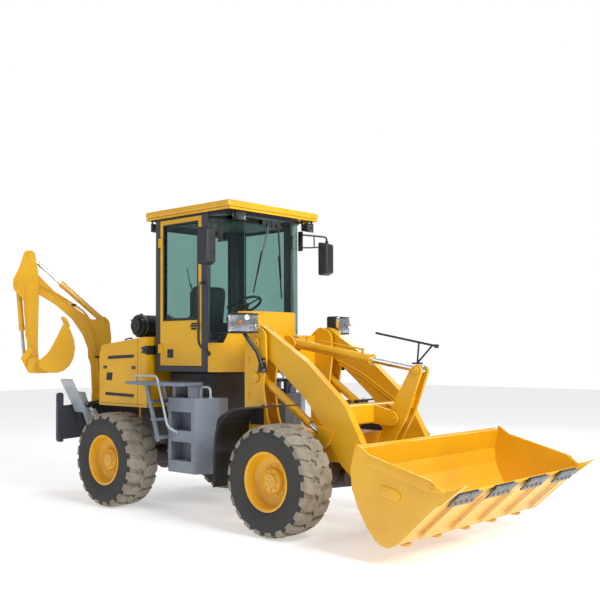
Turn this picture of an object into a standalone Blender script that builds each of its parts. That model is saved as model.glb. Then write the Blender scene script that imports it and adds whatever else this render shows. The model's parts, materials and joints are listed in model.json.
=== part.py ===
"""Articulated backhoe loader: loader bucket in front, cab behind the pivot, backhoe folded at the rear.

Metres, +X forward, +Y to the machine's left, +Z up, wheels on the ground at Z = 0.
Front pieces are placed by their distance ahead of the front axle, rear pieces by their distance
ahead of the rear axle, and the backhoe in its own upright plane, measured out from the swing axis.
"""

import math

import bmesh
import bpy
from mathutils import Matrix, Vector

# Whole machine
WHEELBASE = 2.613
TRACK = 1.758
FRONT_AXLE_X = 1.177
TOUCH = 0.0003
PIN_GAP = 0.0009
SLIDE_GAP = 0.0006
SWEEP_GAP = 0.005
LAP = 0.003
SHARP_ANGLE = 0.6

# Wheels and axles
TYRE_RADIUS = 0.5375
TYRE_WIDTH = 0.41
RIM_RADIUS = 0.262
RIM_DEPTH = 0.14
AXLE_RADIUS = 0.11
STUB_RADIUS = 0.06
WHEEL_STEPS = 28

# Chassis
RAIL_BOTTOM = 0.66
RAIL_TOP = 0.95
REAR_RAIL_INNER = 0.16
REAR_RAIL_OUTER = 0.24
FRONT_BOX_HALF = 0.28
HINGE_X = FRONT_AXLE_X - WHEELBASE / 2
HINGE_EAR = 0.04
HINGE_RADIUS = 0.13
UPPER_EAR = RAIL_TOP - 0.10
LOWER_EAR = 0.52

# Cab
CAB_HALF_WIDTH = 0.66
CAB_REAR = 0.40
CAB_FRONT = 1.61
CAB_WALL = 0.035
CAB_CORNER = 0.30
CAB_FLOOR = 1.545
CAB_BASE_HALF = 0.45
CAB_TOP = 3.296
ROOF_THICKNESS = 0.075
ROOF_OVERHANG = 0.11
DOOR_REAR = 0.518
DOOR_LENGTH = 0.71
DOOR_BOTTOM = 1.61
DOOR_HEIGHT = 1.64
DOOR_GAP = 0.006
SILL = 2.11
GLASS = 0.006

# Rear body
HOOD_REAR = -0.54
HOOD_HALF_WIDTH = 0.75
HOOD_BOTTOM = 1.13
HOOD_TOP = 1.94
HOOD_WALL = 0.02

# Loader: (distance ahead of the front axle, height)
ARM_PIVOT = (-0.60, 1.85)
BUCKET_PIVOT = (1.10, 0.36)
ROCKER_PIVOT = (0.79, 1.113)
ROCKER_TOP = (1.031, 1.583)
ROCKER_FOOT = (0.52, 0.60)
BUCKET_LINK = (1.065, 0.63)
LIFT_BASE = (-0.60, 1.50)
LIFT_EYE = (0.30, 0.90)
ARM_CENTRE = 0.51
ARM_THICKNESS = 0.08
TOWER_GAP = 0.14
TOWER_PLATE = 0.025
BUCKET_WIDTH = 2.336
BUCKET_PLATE = 0.02

# Backhoe: (distance out from the swing axis, height)
SWING_X = -1.237
SWING_ANGLE = 58.6
BOOM_FOOT = (0.23, 1.20)
BOOM_CYL_BASE = (0.25, 0.48)
BOOM_CYL_EYE = (0.327, 1.737)
DIPPER_PIVOT = (1.10, 2.70)
DIPPER_CYL_BASE = (0.18, 2.171)
DIPPER_CYL_EYE = (1.106, 3.005)
HOE_PIVOT = (1.053, 1.651)
HOE_CYL_BASE = (1.245, 2.635)
HOE_CYL_EYE = (1.168, 1.688)
LEVER_PIVOT = (1.09, 1.80)
HOE_LINK = (1.094, 1.538)
HOE_WIDTH = 0.60
BOOM_HALF = 0.072
POST_CHEEK = (BOOM_HALF + 0.013, BOOM_HALF + 0.043)
DIPPER_HALF = 0.105
LINK_PLATE = (DIPPER_HALF + 0.006, DIPPER_HALF + 0.022)
LEVER_PLATE = (LINK_PLATE[1] + 0.005, LINK_PLATE[1] + 0.021)
HOE_EAR = (LEVER_PLATE[1] + 0.007, LEVER_PLATE[1] + 0.027)

# Stabilizers: (distance from the centre line, height)
FRAME_PLATE_X = -1.02
FRAME_PLATE = 0.04
FRAME_HALF_WIDTH = 1.03
LEG_PIVOT = (0.41, 0.45)
PAD_PIVOT = (0.737, 1.222)
LEG_CYL_BASE = (0.33, 0.68)
LEG_CYL_EYE = (0.69, 1.11)
PAD_TOP = (1.004, 1.426)
PAD_FOOT = (0.793, 1.028)
LEG_X = FRAME_PLATE_X + FRAME_PLATE / 2 + 0.055
LEG_CYL_X = LEG_X + 0.085

YELLOW = (0.87, 0.47, 0.02, 1)
DARK_GREY = (0.045, 0.05, 0.06, 1)
STEP_GREY = (0.26, 0.29, 0.33, 1)
BLACK = (0.02, 0.02, 0.02, 1)
RUBBER = (0.035, 0.035, 0.035, 1)
CHROME = (0.8, 0.8, 0.82, 1)
GLASS_TINT = (0.45, 0.62, 0.58, 1)


def front(ahead):
    """X of a place given by its distance ahead of the front axle."""
    return FRONT_AXLE_X + ahead


def rear(ahead):
    """X of a place given by its distance ahead of the rear axle."""
    return FRONT_AXLE_X - WHEELBASE + ahead


def collection(name, hidden):
    made = bpy.data.collections.new(name)
    bpy.context.scene.collection.children.link(made)
    made.hide_render = hidden
    return made


def mesh_object(name, mesh):
    piece = bpy.data.objects.new(name, mesh)
    stock.objects.link(piece)
    return piece


def as_mesh(shape):
    """Turns a curve, or a mesh with modifiers, into a plain mesh object with its seams welded."""
    graph = bpy.context.evaluated_depsgraph_get()
    mesh = bpy.data.meshes.new_from_object(shape.evaluated_get(graph))
    work = bmesh.new()
    work.from_mesh(mesh)
    bmesh.ops.remove_doubles(work, verts=work.verts, dist=0.00002)
    bmesh.ops.recalc_face_normals(work, faces=work.faces)
    work.to_mesh(mesh)
    work.free()
    made = mesh_object(shape.name + "_solid", mesh)
    made.matrix_world = shape.matrix_world
    bpy.data.objects.remove(shape)
    return made


def box(low, high, bevel=0.0):
    """A block between two corners, with rounded edges where bevel is given."""
    low, high = Vector(low), Vector(high)
    work = bmesh.new()
    bmesh.ops.create_cube(work, size=1.0)
    bmesh.ops.scale(work, verts=work.verts, vec=high - low)
    bmesh.ops.translate(work, verts=work.verts, vec=(low + high) / 2)
    mesh = bpy.data.meshes.new("block")
    work.to_mesh(mesh)
    work.free()
    piece = mesh_object("block", mesh)
    if not bevel:
        return piece
    edge = piece.modifiers.new("edge", "BEVEL")
    edge.width = bevel
    edge.segments = 2
    return as_mesh(piece)


def rounded(points, segments=2):
    """An outline of (a, b) or (a, b, radius) corners, with each radius turned into an arc."""
    outline = []
    count = len(points)
    for i, corner in enumerate(points):
        here = Vector(corner[:2])
        radius = corner[2] if len(corner) == 3 else 0.0
        if not radius:
            outline.append(tuple(here))
            continue
        before = (Vector(points[i - 1][:2]) - here).normalized()
        after = (Vector(points[(i + 1) % count][:2]) - here).normalized()
        half = before.angle(after) / 2
        reach = radius / math.tan(half)
        centre = here + (before + after).normalized() * radius / math.sin(half)
        first = here + before * reach - centre
        last = here + after * reach - centre
        turn = first.angle_signed(last)
        for step in range(segments + 1):
            spin = Matrix.Rotation(-turn * step / segments, 2)
            outline.append(tuple(centre + spin @ first))
    return outline


AXES = {
    "x": Matrix(((0, 0, 1, 0), (1, 0, 0, 0), (0, 1, 0, 0), (0, 0, 0, 1))),
    "y": Matrix(((1, 0, 0, 0), (0, 0, -1, 0), (0, 1, 0, 0), (0, 0, 0, 1))),
    "z": Matrix.Identity(4),
}


def slab(points, low, high, across="y"):
    """A flat outline given thickness from low to high along the axis it lies across."""
    curve = bpy.data.curves.new("outline", "CURVE")
    curve.dimensions = "2D"
    curve.fill_mode = "BOTH"
    curve.extrude = (high - low) / 2
    spline = curve.splines.new("POLY")
    outline = rounded(points)
    spline.points.add(len(outline) - 1)
    for point, (a, b) in zip(spline.points, outline):
        point.co = (a, b, 0, 1)
    spline.use_cyclic_u = True
    shape = bpy.data.objects.new("outline", curve)
    stock.objects.link(shape)
    middle = (low + high) / 2
    offset = {"x": (middle, 0, 0), "y": (0, middle, 0), "z": (0, 0, middle)}[across]
    shape.matrix_world = Matrix.Translation(offset) @ AXES[across]
    bpy.context.view_layer.update()
    return as_mesh(shape)


def bar(start, end, radius, sides=12, end_radius=None):
    """A round bar, or a cone where end_radius differs, between two points."""
    start, end = Vector(start), Vector(end)
    work = bmesh.new()
    bmesh.ops.create_cone(
        work,
        cap_ends=True,
        segments=sides,
        radius1=radius,
        radius2=radius if end_radius is None else end_radius,
        depth=(end - start).length,
    )
    turn = (end - start).to_track_quat("Z", "Y").to_matrix().to_4x4()
    bmesh.ops.transform(work, matrix=Matrix.Translation((start + end) / 2) @ turn, verts=work.verts)
    mesh = bpy.data.meshes.new("bar")
    work.to_mesh(mesh)
    work.free()
    return mesh_object("bar", mesh)


def beam(start, end, width, depth):
    """A square bar between two points, width along the level direction across it."""
    start, end = Vector(start), Vector(end)
    piece = box((-width / 2, -depth / 2, 0), (width / 2, depth / 2, (end - start).length))
    along = (end - start).normalized()
    level = Vector((0, 0, 1)).cross(along)
    side = level.normalized() if level.length > 0.001 else Vector((1, 0, 0))
    turn = Matrix((side, along.cross(side), along)).transposed().to_4x4()
    piece.data.transform(Matrix.Translation(start) @ turn)
    return piece


def cross_bar(place, low, high, radius, sides=16):
    """A round bar across the machine, at (ahead, height)."""
    return bar((place[0], low, place[1]), (place[0], high, place[1]), radius, sides)


def turned(profile, steps):
    """A profile of (radius, height) points turned about the vertical axis."""
    curve = bmesh.new()
    corners = [curve.verts.new((r, 0, h)) for r, h in profile]
    for first, second in zip(corners, corners[1:]):
        curve.edges.new((first, second))
    mesh = bpy.data.meshes.new("profile")
    curve.to_mesh(mesh)
    curve.free()
    piece = mesh_object("profile", mesh)
    screw = piece.modifiers.new("turn", "SCREW")
    screw.steps = steps
    screw.render_steps = steps
    screw.use_merge_vertices = True
    screw.merge_threshold = 0.0001
    return as_mesh(piece)


def mirrored(piece):
    """A copy of a stock piece on the other side of the centre line."""
    mesh = piece.data.copy()
    mesh.transform(Matrix.Diagonal((1, -1, 1, 1)) @ piece.matrix_world)
    mesh.flip_normals()
    return mesh_object(piece.name + "_mirror", mesh)


def both(*pieces):
    """Stock pieces with their mirror images."""
    return [copy for piece in pieces for copy in (piece, mirrored(piece))]


def paint(name, colour, roughness, metallic):
    material = bpy.data.materials.new(name)
    material.use_nodes = True
    shader = material.node_tree.nodes["Principled BSDF"]
    shader.inputs["Base Color"].default_value = colour
    shader.inputs["Roughness"].default_value = roughness
    shader.inputs["Metallic"].default_value = metallic
    return material


def solid(
    name, colour, add, cut=(), pivot=(0, 0, 0), parent=None, roughness=0.4, metallic=0.0, last=()
):
    """Joins stock pieces, cuts others away, adds the last ones, and names the result as a part."""
    body = add[0]
    for kind, pieces in (("UNION", add[1:]), ("DIFFERENCE", cut), ("UNION", last)):
        for piece in pieces:
            step = body.modifiers.new(kind.lower(), "BOOLEAN")
            step.operation = kind
            step.solver = "EXACT"
            step.object = piece
    bpy.context.view_layer.update()
    graph = bpy.context.evaluated_depsgraph_get()
    mesh = bpy.data.meshes.new_from_object(body.evaluated_get(graph))
    mesh.transform(body.matrix_world)
    mesh.transform(Matrix.Translation(-Vector(pivot)))
    mesh.materials.clear()
    mesh.materials.append(paint(name, colour, roughness, metallic))
    mesh.shade_smooth()
    mesh.set_sharp_from_angle(angle=SHARP_ANGLE)
    for piece in [*add, *cut, *last]:
        bpy.data.objects.remove(piece)
    part = bpy.data.objects.new(name, mesh)
    machine.objects.link(part)
    part.location = pivot
    part.parent = parent
    return part


def ram(name, base, eye, barrel, rod, length, inside, widths, flat=(0, 1, 0), parent=None, pin=0.03):
    """A hydraulic cylinder as a barrel and a rod, from its base pin to its rod's eye.

    base and eye are points, length is the barrel's, inside is where the rod ends within it,
    widths are those of the base and the rod's eye, and flat is the direction of the pins.
    """
    base, eye = Vector(base), Vector(eye)
    along = (eye - base).normalized()
    half, eye_half = (Vector(flat) * width / 2 for width in widths)
    bore = rod + SLIDE_GAP
    mouth = base + along * length
    solid(
        name + "_barrel",
        YELLOW,
        [
            bar(base + along * barrel * 0.6, mouth, barrel),
            bar(base - half, base + half, barrel * 1.1, 16),
            bar(mouth - along * 0.05, mouth + along * 0.012, barrel * 1.12),
        ],
        [
            bar(base + along * barrel * 1.4, mouth + along * 0.05, bore),
            bar(base - half * 1.5, base + half * 1.5, pin + PIN_GAP, 16),
        ],
        pivot=base,
        parent=parent,
    )
    solid(
        name + "_rod",
        CHROME,
        [
            bar(base + along * inside, eye - along * rod, rod),
            bar(eye - eye_half, eye + eye_half, barrel * 0.95, 16),
        ],
        pivot=eye,
        parent=parent,
        roughness=0.15,
        metallic=1.0,
    )


# ---- wheels and axles -------------------------------------------------------------------------


def wheel(name, x, side):
    """Tyre, deep-dished rim and hub, turned about the axle; the dish faces outward."""
    wall = TYRE_WIDTH / 2
    flange = wall - 0.03
    disc = flange - RIM_DEPTH
    round_radius = TYRE_RADIUS / math.cos(math.pi / WHEEL_STEPS)
    profile = [
        (0, disc + 0.07),
        (0.085, disc + 0.06),
        (0.12, disc),
        (RIM_RADIUS - 0.04, disc),
        (RIM_RADIUS + 0.018, flange),
        (round_radius * 0.74, wall),
        (round_radius - 0.04, wall - 0.012),
        (round_radius, wall - 0.05),
        (round_radius, 0.05 - wall),
        (round_radius - 0.04, 0.012 - wall),
        (round_radius * 0.74, -wall),
        (RIM_RADIUS + 0.018, -flange),
        (RIM_RADIUS - 0.022, disc - 0.03),
        (STUB_RADIUS + PIN_GAP, disc - 0.03),
        (STUB_RADIUS + PIN_GAP, disc + 0.02),
        (0, disc + 0.02),
    ]
    centre = Vector((x, side * TRACK / 2, TYRE_RADIUS))
    piece = turned(profile, WHEEL_STEPS)
    level = Matrix.Rotation(math.pi / WHEEL_STEPS, 4, "Y")
    dish_out = Matrix.Rotation(-side * math.pi / 2, 4, "X")
    piece.data.transform(Matrix.Translation(centre) @ level @ dish_out)
    solid(name, RUBBER, [piece], pivot=centre, roughness=0.8)


def axle(name, x, mount):
    """Axle tube with a differential and two hub stubs; mount is the frame's half width above it."""
    disc = TYRE_WIDTH / 2 - 0.03 - RIM_DEPTH
    inner = TRACK / 2 + disc - 0.03
    stub = TRACK / 2 + disc + 0.02
    z = TYRE_RADIUS
    pad = box((x - 0.10, mount - 0.08, z), (x + 0.10, mount, RAIL_BOTTOM - TOUCH))
    add = [
        bar((x, -inner + 0.012, z), (x, inner - 0.012, z), AXLE_RADIUS, 20),
        bar((x - 0.22, 0, z - 0.05), (x + 0.16, 0, z - 0.05), 0.165, 16, 0.10),
        bar((x, 0.0, z), (x, stub - 0.004, z), STUB_RADIUS, WHEEL_STEPS),
        bar((x, 0.0, z), (x, -stub + 0.004, z), STUB_RADIUS, WHEEL_STEPS),
    ]
    solid(name, DARK_GREY, add + both(pad), pivot=(x, 0, z), roughness=0.5)


# ---- rear frame and cab -----------------------------------------------------------------------


def hinge_ears(levels, reach_from, hinge_x, half):
    """Level plates that carry the articulation pin; levels are their bottoms."""
    ears = []
    for z in levels:
        outline = [
            (reach_from, -half),
            (hinge_x, -HINGE_RADIUS),
            (hinge_x + math.copysign(HINGE_RADIUS, hinge_x - reach_from), -0.05),
            (hinge_x + math.copysign(HINGE_RADIUS, hinge_x - reach_from), 0.05),
            (hinge_x, HINGE_RADIUS),
            (reach_from, half),
        ]
        ears.append(slab(outline, z, z + HINGE_EAR, "z"))
    return ears


def rear_chassis():
    """Two rails, cross members, the cab's base and the rear half of the articulation."""
    end = rear(FRAME_PLATE_X + FRAME_PLATE / 2) + TOUCH
    nose = HINGE_X - 0.30
    rail = box((end, REAR_RAIL_INNER, RAIL_BOTTOM), (nose, REAR_RAIL_OUTER, RAIL_TOP))
    gap = SWEEP_GAP + HINGE_EAR
    solid(
        "rear_chassis",
        DARK_GREY,
        [
            box((nose - 0.06, -0.28, 0.50), (nose, 0.28, RAIL_TOP)),
            box((rear(-0.60), -0.20, 0.70), (rear(-0.50), 0.20, 0.90)),
            box(
                (rear(0.42), -CAB_BASE_HALF, RAIL_TOP - 0.05),
                (rear(1.18), CAB_BASE_HALF, CAB_FLOOR - TOUCH),
                0.03,
            ),
        ]
        + both(rail)
        + hinge_ears((UPPER_EAR - gap, LOWER_EAR + gap), nose - 0.03, HINGE_X, 0.2),
        [bar((HINGE_X, 0, 0.4), (HINGE_X, 0, 1.0), 0.05 + PIN_GAP, 24)],
        roughness=0.5,
    )


def cab_plan(inset=0.0):
    """The cab's outline seen from above, with rounded front corners."""
    half = CAB_HALF_WIDTH - inset
    low, high = rear(CAB_REAR) + inset, rear(CAB_FRONT) - inset
    corner = CAB_CORNER - inset
    tail = 0.05
    return [(low, -half, tail), (high, -half, corner), (high, half, corner), (low, half, tail)]


def sill_outline(grow):
    """Side view of what lies below the windscreen; grow moves its upper edge."""
    return [
        (rear(1.33) + TOUCH, CAB_FLOOR - 0.1),
        (rear(1.33) + TOUCH, 1.86 + grow),
        (rear(1.48), 1.86 + grow),
        (rear(1.585), 2.20 + grow),
        (rear(2.2), 2.20 + grow),
        (rear(2.2), CAB_FLOOR - 0.1),
    ]


def cab():
    """Cab shell, roof, glass and the seat and steering column inside."""
    wall = CAB_WALL
    door_low = (rear(DOOR_REAR) - DOOR_GAP, DOOR_BOTTOM - DOOR_GAP)
    door_high = (rear(DOOR_REAR + DOOR_LENGTH) + DOOR_GAP, DOOR_BOTTOM + DOOR_HEIGHT + DOOR_GAP)
    half = CAB_HALF_WIDTH
    glass_low, glass_high = (rear(DOOR_REAR), SILL), (rear(DOOR_REAR + DOOR_LENGTH), CAB_TOP - 0.08)
    solid(
        "cab_shell",
        DARK_GREY,
        [slab(cab_plan(), CAB_FLOOR, CAB_TOP, "z")],
        [
            slab(cab_plan(wall), CAB_FLOOR + 0.045, CAB_TOP + 0.1, "z"),
            box((door_low[0], -half - 0.1, door_low[1]), (door_high[0], -half + 0.1, door_high[1])),
            box((glass_low[0], half - 0.1, glass_low[1]), (glass_high[0], half + 0.1, glass_high[1])),
            box((rear(CAB_REAR) - 0.1, -0.50, 2.10), (rear(CAB_REAR) + 0.1, 0.50, 3.18)),
            slab(
                [
                    (rear(1.33), CAB_FLOOR - 0.1),
                    (rear(2.2), CAB_FLOOR - 0.1),
                    (rear(2.2), CAB_TOP - 0.06),
                    (rear(1.33), CAB_TOP - 0.06),
                ],
                -1,
                1,
            ),
        ],
    )
    roof_low = (rear(CAB_REAR) - ROOF_OVERHANG, -half - 0.045, CAB_TOP + TOUCH)
    roof_high = (rear(CAB_FRONT) + ROOF_OVERHANG, half + 0.045, CAB_TOP + ROOF_THICKNESS)
    solid("cab_roof", YELLOW, [box(roof_low, roof_high, 0.025)])
    inset = wall / 2
    solid(
        "windscreen",
        GLASS_TINT,
        [slab(cab_plan(inset - GLASS / 2), CAB_FLOOR + 0.2, CAB_TOP - 0.06 - TOUCH, "z")],
        [
            slab(cab_plan(inset + GLASS / 2), CAB_FLOOR, CAB_TOP, "z"),
            box((rear(0), -1, 1), (rear(1.33) + TOUCH, 1, 4)),
            slab(sill_outline(TOUCH), -1, 1),
        ],
        roughness=0.05,
    )
    nose = [
        (rear(1.33) + TOUCH, -half + 0.005),
        (rear(1.45), -half + 0.06, 0.08),
        (rear(1.715), -0.30, 0.10),
        (rear(1.715), 0.30, 0.10),
        (rear(1.45), half - 0.06, 0.08),
        (rear(1.33) + TOUCH, half - 0.005),
    ]
    inner = [
        (rear(1.30), -half + 0.04),
        (rear(1.44), -half + 0.10, 0.06),
        (rear(1.685), -0.28, 0.08),
        (rear(1.685), 0.28, 0.08),
        (rear(1.44), half - 0.10, 0.06),
        (rear(1.30), half - 0.04),
    ]
    above = [
        (rear(1.0), 1.86),
        (rear(1.48), 1.86),
        (rear(1.585), 2.20),
        (rear(2.2), 2.20),
        (rear(2.2), 3.0),
        (rear(1.0), 3.0),
    ]
    solid(
        "front_cowl",
        YELLOW,
        [slab(nose, CAB_FLOOR, 2.3, "z")],
        [slab(inner, CAB_FLOOR + 0.045, 2.17, "z"), slab(above, -1, 1)],
    )
    pane = GLASS / 2
    middle = half - inset
    solid(
        "left_window",
        GLASS_TINT,
        [
            box(
                (glass_low[0] + TOUCH, middle - pane, glass_low[1] + TOUCH),
                (glass_high[0] - TOUCH, middle + pane, glass_high[1] - TOUCH),
            )
        ],
        roughness=0.05,
    )
    back = rear(CAB_REAR) + inset
    solid(
        "rear_window",
        GLASS_TINT,
        [box((back - pane, TOUCH - 0.50, 2.10 + TOUCH), (back + pane, 0.50 - TOUCH, 3.18 - TOUCH))],
        roughness=0.05,
    )
    floor = CAB_FLOOR + 0.045 + TOUCH
    solid(
        "seat",
        BLACK,
        [
            box((rear(0.60), -0.17, floor), (rear(0.95), 0.17, floor + 0.26)),
            box((rear(0.56), -0.25, floor + 0.25), (rear(1.06), 0.25, floor + 0.39), 0.03),
            slab(
                [
                    (rear(0.54), floor + 0.30, 0.03),
                    (rear(0.66), floor + 0.30, 0.03),
                    (rear(0.58), floor + 0.95, 0.04),
                    (rear(0.48), floor + 0.95, 0.04),
                ],
                -0.24,
                0.24,
            ),
        ],
        roughness=0.7,
    )
    wheel_centre = Vector((rear(1.22), 0, floor + 0.70))
    tilt = Vector((-0.5, 0, 0.87))
    solid(
        "steering_column",
        BLACK,
        [
            box((rear(1.28), -0.14, floor), (rear(1.46), 0.14, floor + 0.40), 0.03),
            bar((rear(1.38), 0, floor + 0.3), wheel_centre, 0.035),
            bar(wheel_centre - tilt * 0.012, wheel_centre + tilt * 0.016, 0.20, 24),
        ],
        roughness=0.6,
    )


def door():
    """Right-hand door, hinged at its rear edge, with its window."""
    low = (rear(DOOR_REAR), DOOR_BOTTOM)
    high = (rear(DOOR_REAR + DOOR_LENGTH), DOOR_BOTTOM + DOOR_HEIGHT)
    outer, inner = -CAB_HALF_WIDTH, CAB_WALL - CAB_HALF_WIDTH
    edge = 0.05
    hole_low = (low[0] + edge, SILL)
    hole_high = (high[0] - edge, high[1] - edge)
    pivot = (low[0] - 0.008, outer - 0.012, low[1])
    hinges = [
        bar((pivot[0], pivot[1], z), (pivot[0], pivot[1], z + 0.10), 0.011) for z in (1.75, 2.95)
    ]
    tabs = [
        box((low[0] - 0.006, outer - 0.018, z), (low[0] + 0.05, outer + 0.004, z + 0.10))
        for z in (1.75, 2.95)
    ]
    handle = box((high[0] - 0.16, outer - 0.035, 2.03), (high[0] - 0.03, outer + 0.004, 2.06))
    solid(
        "right_door",
        YELLOW,
        [box((low[0], outer, low[1]), (high[0], inner, high[1]))] + hinges + tabs + [handle],
        [box((hole_low[0], outer - 0.1, hole_low[1]), (hole_high[0], inner + 0.1, hole_high[1]))],
        pivot=pivot,
    )
    middle = (outer + inner) / 2
    solid(
        "door_window",
        GLASS_TINT,
        [
            box(
                (hole_low[0] + TOUCH, middle - GLASS / 2, hole_low[1] + TOUCH),
                (hole_high[0] - TOUCH, middle + GLASS / 2, hole_high[1] - TOUCH),
            )
        ],
        pivot=pivot,
        roughness=0.05,
    )


def rear_body():
    """Engine cover, the engine's mass, and the air cleaner on top."""
    x0, x1 = rear(HOOD_REAR), rear(CAB_REAR) - 0.015
    drop = 0.09
    outline = [
        (x0, HOOD_BOTTOM),
        (x1, HOOD_BOTTOM),
        (x1, HOOD_TOP, 0.03),
        (x0 + 0.05, HOOD_TOP - drop, 0.05),
        (x0, HOOD_TOP - drop - 0.1, 0.03),
    ]
    t = HOOD_WALL
    hollow = [
        (x0 + t, HOOD_BOTTOM + t),
        (x1 - t, HOOD_BOTTOM + t),
        (x1 - t, HOOD_TOP - t),
        (x0 + 0.05 + t, HOOD_TOP - drop - t),
        (x0 + t, HOOD_TOP - drop - 0.1 - t),
    ]
    w = HOOD_HALF_WIDTH
    bottom, top = RAIL_TOP + TOUCH, HOOD_BOTTOM + t / 2
    legs = [
        box((x0 + 0.10, REAR_RAIL_INNER, bottom), (x0 + 0.20, REAR_RAIL_OUTER, top)),
        box((x1 - 0.06, REAR_RAIL_INNER, bottom), (x1 - 0.02, REAR_RAIL_OUTER, top)),
    ]
    solid(
        "engine_cover",
        YELLOW,
        [slab(outline, -w, w), *both(*legs)],
        [
            slab(hollow, -w + t, w - t),
            box((x0 + 0.22, -0.40, HOOD_BOTTOM - 0.3), (x1 - 0.08, 0.40, HOOD_BOTTOM + 0.1)),
        ],
    )
    solid(
        "engine",
        DARK_GREY,
        [box((x0 + 0.24, -0.33, RAIL_TOP + TOUCH), (x1 - 0.12, 0.33, 1.72), 0.03)],
        roughness=0.6,
    )
    drum_x, drum_z, drum_r = rear(0.01), 2.075, 0.125
    solid(
        "air_cleaner",
        BLACK,
        [
            bar((drum_x, -0.60, drum_z), (drum_x, -0.10, drum_z), drum_r, 20),
            bar((drum_x, -0.63, drum_z), (drum_x, -0.59, drum_z), 0.09, 16),
            bar((drum_x, -0.16, drum_z), (drum_x, -0.02, drum_z), 0.07, 20),
            box((drum_x - 0.07, -0.50, 1.80), (drum_x + 0.07, -0.20, drum_z)),
        ],
        [slab([(x0 + 0.05, HOOD_TOP - drop + TOUCH), (x1, HOOD_TOP + TOUCH), (x1, 1), (x0, 1)], -1, 1)],
        roughness=0.5,
    )


def steps(name, side):
    """Tank box with two step recesses, the deck beside the cab and the slanted ladder."""
    x0, x1 = rear(0.90), rear(1.355)
    outer, inner = 0.86, CAB_BASE_HALF + TOUCH
    deck_z = 1.40
    tank = [
        (x0, inner),
        (x0, outer, 0.02),
        (x1, outer, 0.02),
        (x1 + 0.135, outer - 0.22, 0.02),
        (x1 + 0.135, inner + 0.06),
        (x1 + 0.06, inner),
    ]
    deck = [
        (rear(0.19), 0.90),
        (rear(0.45), 0.98, 0.03),
        (rear(1.27), 0.98, 0.05),
        (rear(1.27), 0.672),
        (rear(0.45), 0.672),
        (rear(0.45), 0.76),
    ]
    inboard = [(rear(0.60), 0.60), (rear(1.17), 0.60), (rear(1.17), 0.70), (rear(0.60), 0.70)]
    add = [
        slab(tank, 0.47, 1.27, "z"),
        slab(deck, deck_z, deck_z + 0.035, "z"),
        slab(inboard, deck_z, deck_z + 0.035, "z"),
        box((x0 + 0.03, inner + 0.2, 1.25), (x0 + 0.09, outer - 0.04, deck_z + 0.01)),
        box((x1 - 0.16, inner + 0.2, 1.25), (x1 - 0.11, outer - 0.04, deck_z + 0.01)),
        beam((rear(0.66), 0.96, deck_z + 0.01), (rear(0.87), 0.96, 0.80), 0.02, 0.05),
        beam((rear(0.66), 0.72, deck_z + 0.01), (rear(0.87), 0.72, 0.80), 0.02, 0.05),
    ]
    for share in (0.3, 0.62, 0.94):
        x = rear(0.66) + 0.21 * share
        z = deck_z - 0.60 * share
        add.append(box((x - 0.05, 0.715, z - 0.012), (x + 0.05, 0.965, z + 0.012)))
    add.append(box((x0 - 0.08, 0.74, 0.90), (x0 + 0.05, 0.80, 0.94)))
    cut = [
        box((x0 + 0.06, outer - 0.16, z), (x1 - 0.06, outer + 0.1, z + 0.20)) for z in (0.60, 0.92)
    ]
    if side < 0:
        add = [mirror_only(piece) for piece in add]
        cut = [mirror_only(piece) for piece in cut]
    solid(name, STEP_GREY, add, cut, roughness=0.5)


def mirror_only(piece):
    """The mirror image of a stock piece, which it replaces."""
    copy = mirrored(piece)
    bpy.data.objects.remove(piece)
    return copy


# ---- front frame ------------------------------------------------------------------------------


def tower_outline():
    """Side view of one tower plate, from the frame up to the arm's pivot."""
    x, z = front(ARM_PIVOT[0]), ARM_PIVOT[1]
    return [
        (front(-0.762), 0.72),
        (front(-0.762), z + 0.10, 0.08),
        (x - 0.02, z + 0.19, 0.08),
        (x + 0.14, z + 0.12, 0.08),
        (x + 0.15, z - 0.15, 0.05),
        (front(-0.496), 1.39, 0.1),
        (front(-0.44), 1.10, 0.1),
        (front(-0.28), 0.72),
    ]


def front_chassis():
    """Frame box, twin-plate towers for the arms, and the front half of the articulation."""
    inner = ARM_CENTRE - TOWER_GAP / 2 - TOWER_PLATE
    outer = ARM_CENTRE + TOWER_GAP / 2
    plates = [slab(tower_outline(), low, low + TOWER_PLATE) for low in (inner, outer)]
    lift = (front(LIFT_BASE[0]), LIFT_BASE[1])
    arm = (front(ARM_PIVOT[0]), ARM_PIVOT[1])
    pins = [
        cross_bar(arm, inner + 0.005, outer + 0.04, 0.04),
        cross_bar(lift, inner + 0.005, outer + 0.02, 0.03),
    ]
    base = box((front(-0.755), 0.20, 0.67), (front(-0.30), outer + 0.02, 0.75))
    lug = slab(
        [
            (front(-0.72), arm[1] - 0.16),
            (arm[0], arm[1] - 0.075, 0.03),
            (arm[0] + 0.075, arm[1], 0.05),
            (arm[0], arm[1] + 0.075, 0.03),
            (front(-0.72), arm[1] + 0.09),
        ],
        0.05,
        0.075,
    )
    solid(
        "front_chassis",
        YELLOW,
        [
            box((front(-0.95), -FRONT_BOX_HALF, RAIL_BOTTOM), (front(0.40), FRONT_BOX_HALF, RAIL_TOP), 0.02),
            box((front(-0.95), -0.26, 0.48), (front(-0.85), 0.26, 0.90)),
            box((front(-0.76), -inner - 0.005, 1.62), (front(-0.70), inner + 0.005, 1.94)),
            cross_bar(arm, -0.06, 0.06, 0.03),
            bar((HINGE_X, 0, LOWER_EAR), (HINGE_X, 0, UPPER_EAR + HINGE_EAR), 0.05, 24),
        ]
        + both(*plates, *pins, base, lug)
        + hinge_ears((UPPER_EAR, LOWER_EAR), front(-0.87), HINGE_X, 0.2),
        pivot=(HINGE_X, 0, 0),
    )


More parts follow.
